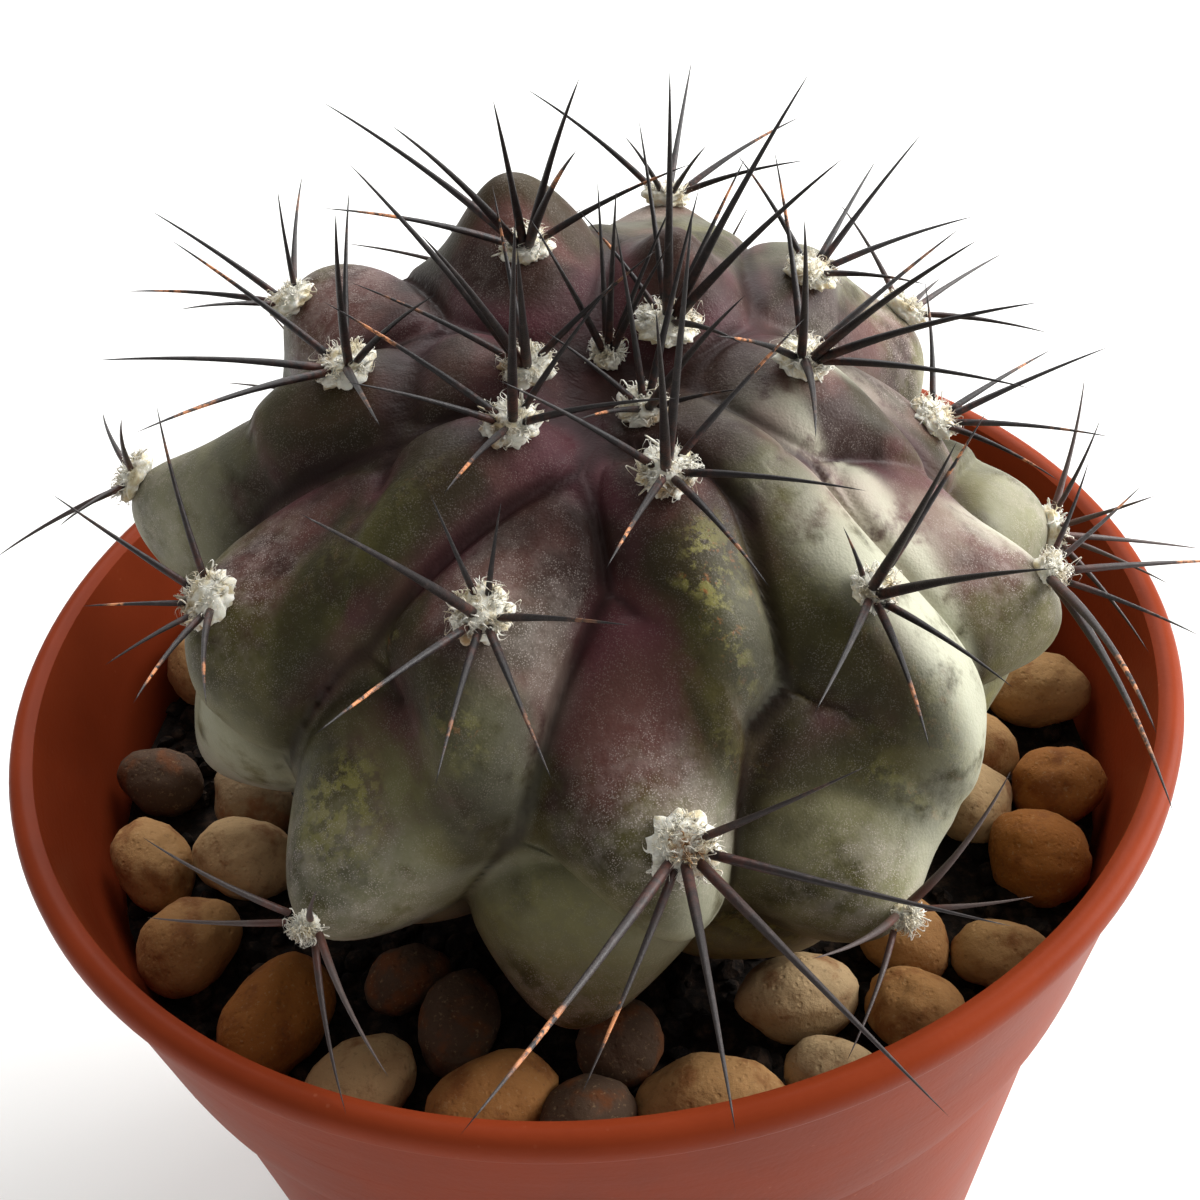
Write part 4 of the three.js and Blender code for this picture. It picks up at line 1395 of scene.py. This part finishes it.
    def build(self) -> None:
        """Builds every areole."""
        needle = self.needle_blank(10, 12)
        fibre = self.needle_blank(3, 5)
        tuft = self.tuft_blank()
        horn, floss = SpineHorn().material(), WoolFloss().material()
        for n in range(self.count):
            spines = self.build_spines(n, needle)
            spines.data.materials.append(horn)
            mount_piece(spines, Slot.SPINE, f"areole_{n:02d}")
            wool = self.build_wool(n, tuft, fibre)
            wool.data.materials.append(floss)
            mount_piece(wool, Slot.SPINE)


# Soil and gravel


@dataclass
class TopDressing:
    """The soil's crumbs and the stones that lie on it round the plant."""

    form: StemForm
    pot: Pot
    soil_top: float = 44.8
    stone_centre: float = 46.7
    gap: float = 0.3
    search: float = 6.0
    stone_clear: float = 0.4
    crumb_clear: float = 1.1
    crumb_margin: float = 0.9
    crumbs: int = 1300
    stones: tuple[tuple[float, float, float, float, float, float], ...] = (
        (-112, 26.6, 6, 4.6, 10, 0.5), (-92, 26.4, 5.2, 4.2, 60, 0.9), (-77, 26.6, 6.2, 4.4, 40, 0.35),
        (-62, 26.3, 5.6, 5.2, 0, 0.3), (-46, 25.2, 7.5, 5.5, 15, 0.1), (-31, 26.2, 6, 4.6, 0, 0.6),
        (-24, 21, 6, 4, 50, 0.85), (-35, 19.6, 4.4, 3.6, 0, 0.9), (-16, 25.2, 6.8, 5, 10, 0.25),
        (-5, 25.8, 4.8, 4.6, 0, 0.85), (-1, 21.6, 4.6, 4.4, 0, 0.9), (9, 25.6, 7.4, 4.6, 5, 0.35),
        (22, 26.6, 4.6, 3.8, 0, 0.8), (24, 21.8, 6, 4.6, 20, 0.8), (34, 26, 5.4, 4.2, -10, 0.3),
        (42, 22.6, 4.8, 4.6, 0, 0.3), (47, 27, 5, 4, 30, 0.45), (63, 26.2, 5.6, 5.4, 0, 0.15),
        (75, 26.6, 5.4, 4.6, 60, 0.2), (91, 26.4, 5.6, 4.8, 90, 0.4),
    )
    rings: tuple[tuple[float, int, float, float], ...] = ((26.2, 20, 104, 244), (21.3, 17, 62, 296))

    def stone_blanks(self) -> list[Blank]:
        """Models four rounded stones of radius one, each with its own flats and hollows."""
        blanks = []
        for k in range(4):
            bpy.ops.object.select_all(action="DESELECT")
            bpy.ops.mesh.primitive_ico_sphere_add(subdivisions=4, radius=1, rotation=(k, 2 * k, 3 * k))
            stone = bpy.context.object
            bpy.ops.object.transform_apply(location=False, rotation=True, scale=False)
            for size, depth in ((1.3, 0.42), (0.45, 0.09)):
                texture = bpy.data.textures.new("stone_face", "CLOUDS")
                texture.noise_scale = size
                shift = bpy.data.objects.new("shift", None)
                shift.location = (7 * k, 3 * k, 0)
                bpy.context.collection.objects.link(shift)
                bpy.context.view_layer.update()
                apply_modifier(
                    stone, "DISPLACE", texture=texture, strength=depth, mid_level=0.5,
                    texture_coords="OBJECT", texture_coords_object=shift,
                )
                bpy.data.objects.remove(shift)
            blanks.append(Blank.from_object(stone))
        return blanks

    def layout(self) -> list[tuple[float, float, float, float, float, float]]:
        """Lists the stones: azimuth, radius, length, width, turn and tone."""
        placed = [(a, r, length, width, turn - a, tone) for a, r, length, width, turn, tone in self.stones]
        for ring, (radius, count, start, end) in enumerate(self.rings):
            for k in range(count):
                mark = 100 * (ring + 1) + k
                azimuth = start + (end - start) * (k + 0.5 + 0.2 * wobble(mark, 4)) / count
                placed.append((
                    azimuth, radius + 0.7 * wobble(mark, 5), 5.8 + wobble(mark, 6),
                    4.7 + 0.6 * wobble(mark, 7), 180 * wobble(mark, 8), 0.5 + 0.5 * wobble(mark, 11),
                ))
        return placed

    def clear_of(self, corners: np.ndarray, stem: BVHTree) -> np.ndarray:
        """Presses the corners of a stone out of the stem and off the pot's wall.

        Args:
            corners: The stone's corners.
            stem: The stem's surface in metres.

        Returns:
            The corners, each outside the stem and inside the pot.
        """
        moved = corners.copy()
        for i, corner in enumerate(corners):
            place, normal, _, _ = stem.find_nearest(Vector(corner) * MM, self.search * MM)
            if place is not None and (Vector(corner) * MM - place).dot(normal) < self.gap * MM:
                moved[i] = np.array(place + normal * self.gap * MM) / MM
        radius = np.hypot(moved[:, 0], moved[:, 1])
        limit = np.array([self.pot.inner_radius(z) for z in moved[:, 2]]) - self.gap
        moved[:, :2] *= np.minimum(1, limit / np.maximum(radius, 1e-6))[:, None]
        moved[:, 2] = np.maximum(moved[:, 2], self.soil_top + 0.05)
        return moved

    def build_gravel(self, stem: BVHTree) -> bpy.types.Object:
        """Lays the stones.

        Args:
            stem: The stem's surface in metres.

        Returns:
            All stones as one piece.
        """
        blanks = self.stone_blanks()
        gravel = Assembly("gravel_stones")
        for k, (azimuth, radius, length, width, turn, tone) in enumerate(self.layout()):
            middle = np.array([
                math.sin(azimuth * DEGREE) * radius, -math.cos(azimuth * DEGREE) * radius,
                self.stone_centre + 0.35 * wobble(k, 9),
            ])
            place, normal, _, _ = stem.find_nearest(Vector(middle) * MM)
            if (Vector(middle) * MM - place).dot(normal) < self.stone_clear * MM:
                continue
            blank = blanks[k % len(blanks)]
            tall = 0.37 * width + 0.09 * length
            spin = Matrix.Rotation(turn * DEGREE, 3, "Z") @ Matrix.Rotation(0.2 * wobble(k + 1, 3), 3, "X")
            shaped = (blank.corners * [length / 2, width / 2, tall]) @ np.array(spin).T
            gravel.add(blank, self.clear_of(middle + shaped, stem), tone=tone)
        made = gravel.build()
        made.data.materials.append(RiverStone().material())
        mount_piece(made, Slot.GRAVEL, "gravel")
        return made

    def build_crumbs(self, stem: BVHTree) -> bpy.types.Object:
        """Scatters crumbs of soil between the stones.

        Args:
            stem: The stem's surface in metres.

        Returns:
            All crumbs as one piece.
        """
        bpy.ops.object.select_all(action="DESELECT")
        bpy.ops.mesh.primitive_ico_sphere_add(subdivisions=2, radius=1)
        crumb = bpy.context.object
        texture = bpy.data.textures.new("crumb_face", "CLOUDS")
        texture.noise_scale = 0.8
        apply_modifier(crumb, "DISPLACE", texture=texture, strength=0.8, mid_level=0.5)
        blank = Blank.from_object(crumb)
        draw = np.random.default_rng(7)
        crumbs = Assembly("soil_crumbs")
        outer = self.pot.inner_radius(self.soil_top) - self.crumb_margin
        for _ in range(self.crumbs):
            radius = outer * math.sqrt(draw.uniform(0.3, 1))
            azimuth = draw.uniform(0, 2 * math.pi)
            size = draw.uniform(0.3, 0.95) ** 1.5
            middle = np.array([
                math.sin(azimuth) * radius, -math.cos(azimuth) * radius, self.soil_top + 0.3 * size,
            ])
            place, normal, _, _ = stem.find_nearest(Vector(middle) * MM)
            if (Vector(middle) * MM - place).dot(normal) < self.crumb_clear * size * MM:
                continue
            spin = np.array(Matrix.Rotation(draw.uniform(0, 6.3), 3, draw.normal(0, 1, 3)))
            shaped = (blank.corners * draw.uniform(0.7, 1.2, 3) * size) @ spin.T
            crumbs.add(blank, middle + shaped)
        made = crumbs.build(smooth=False)
        made.data.materials.append(DampEarth().material())
        mount_piece(made, Slot.SOIL)
        return made

    def build(self, stem: bpy.types.Object) -> None:
        """Dresses the soil and lays the stones.

        Args:
            stem: The finished stem, which the stones lie against.
        """
        corners = [v.co for v in stem.data.vertices]
        tree = BVHTree.FromPolygons(corners, [p.vertices for p in stem.data.polygons])
        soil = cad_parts["soil"]
        soil.data.materials.clear()
        soil.data.materials.append(DampEarth().material())
        self.build_crumbs(tree)
        self.build_gravel(tree)


def main() -> None:
    """Builds the plant in its pot and the studio round it."""
    logging.basicConfig(level=logging.INFO, format="%(name)s: %(message)s")
    Studio().build()
    form = StemForm()
    pot = Pot()
    pot.build()
    stem = Stem(form).build()
    TopDressing(form, pot).build(stem)
    Areoles(form).build()


if __name__ == "__main__":
    main()
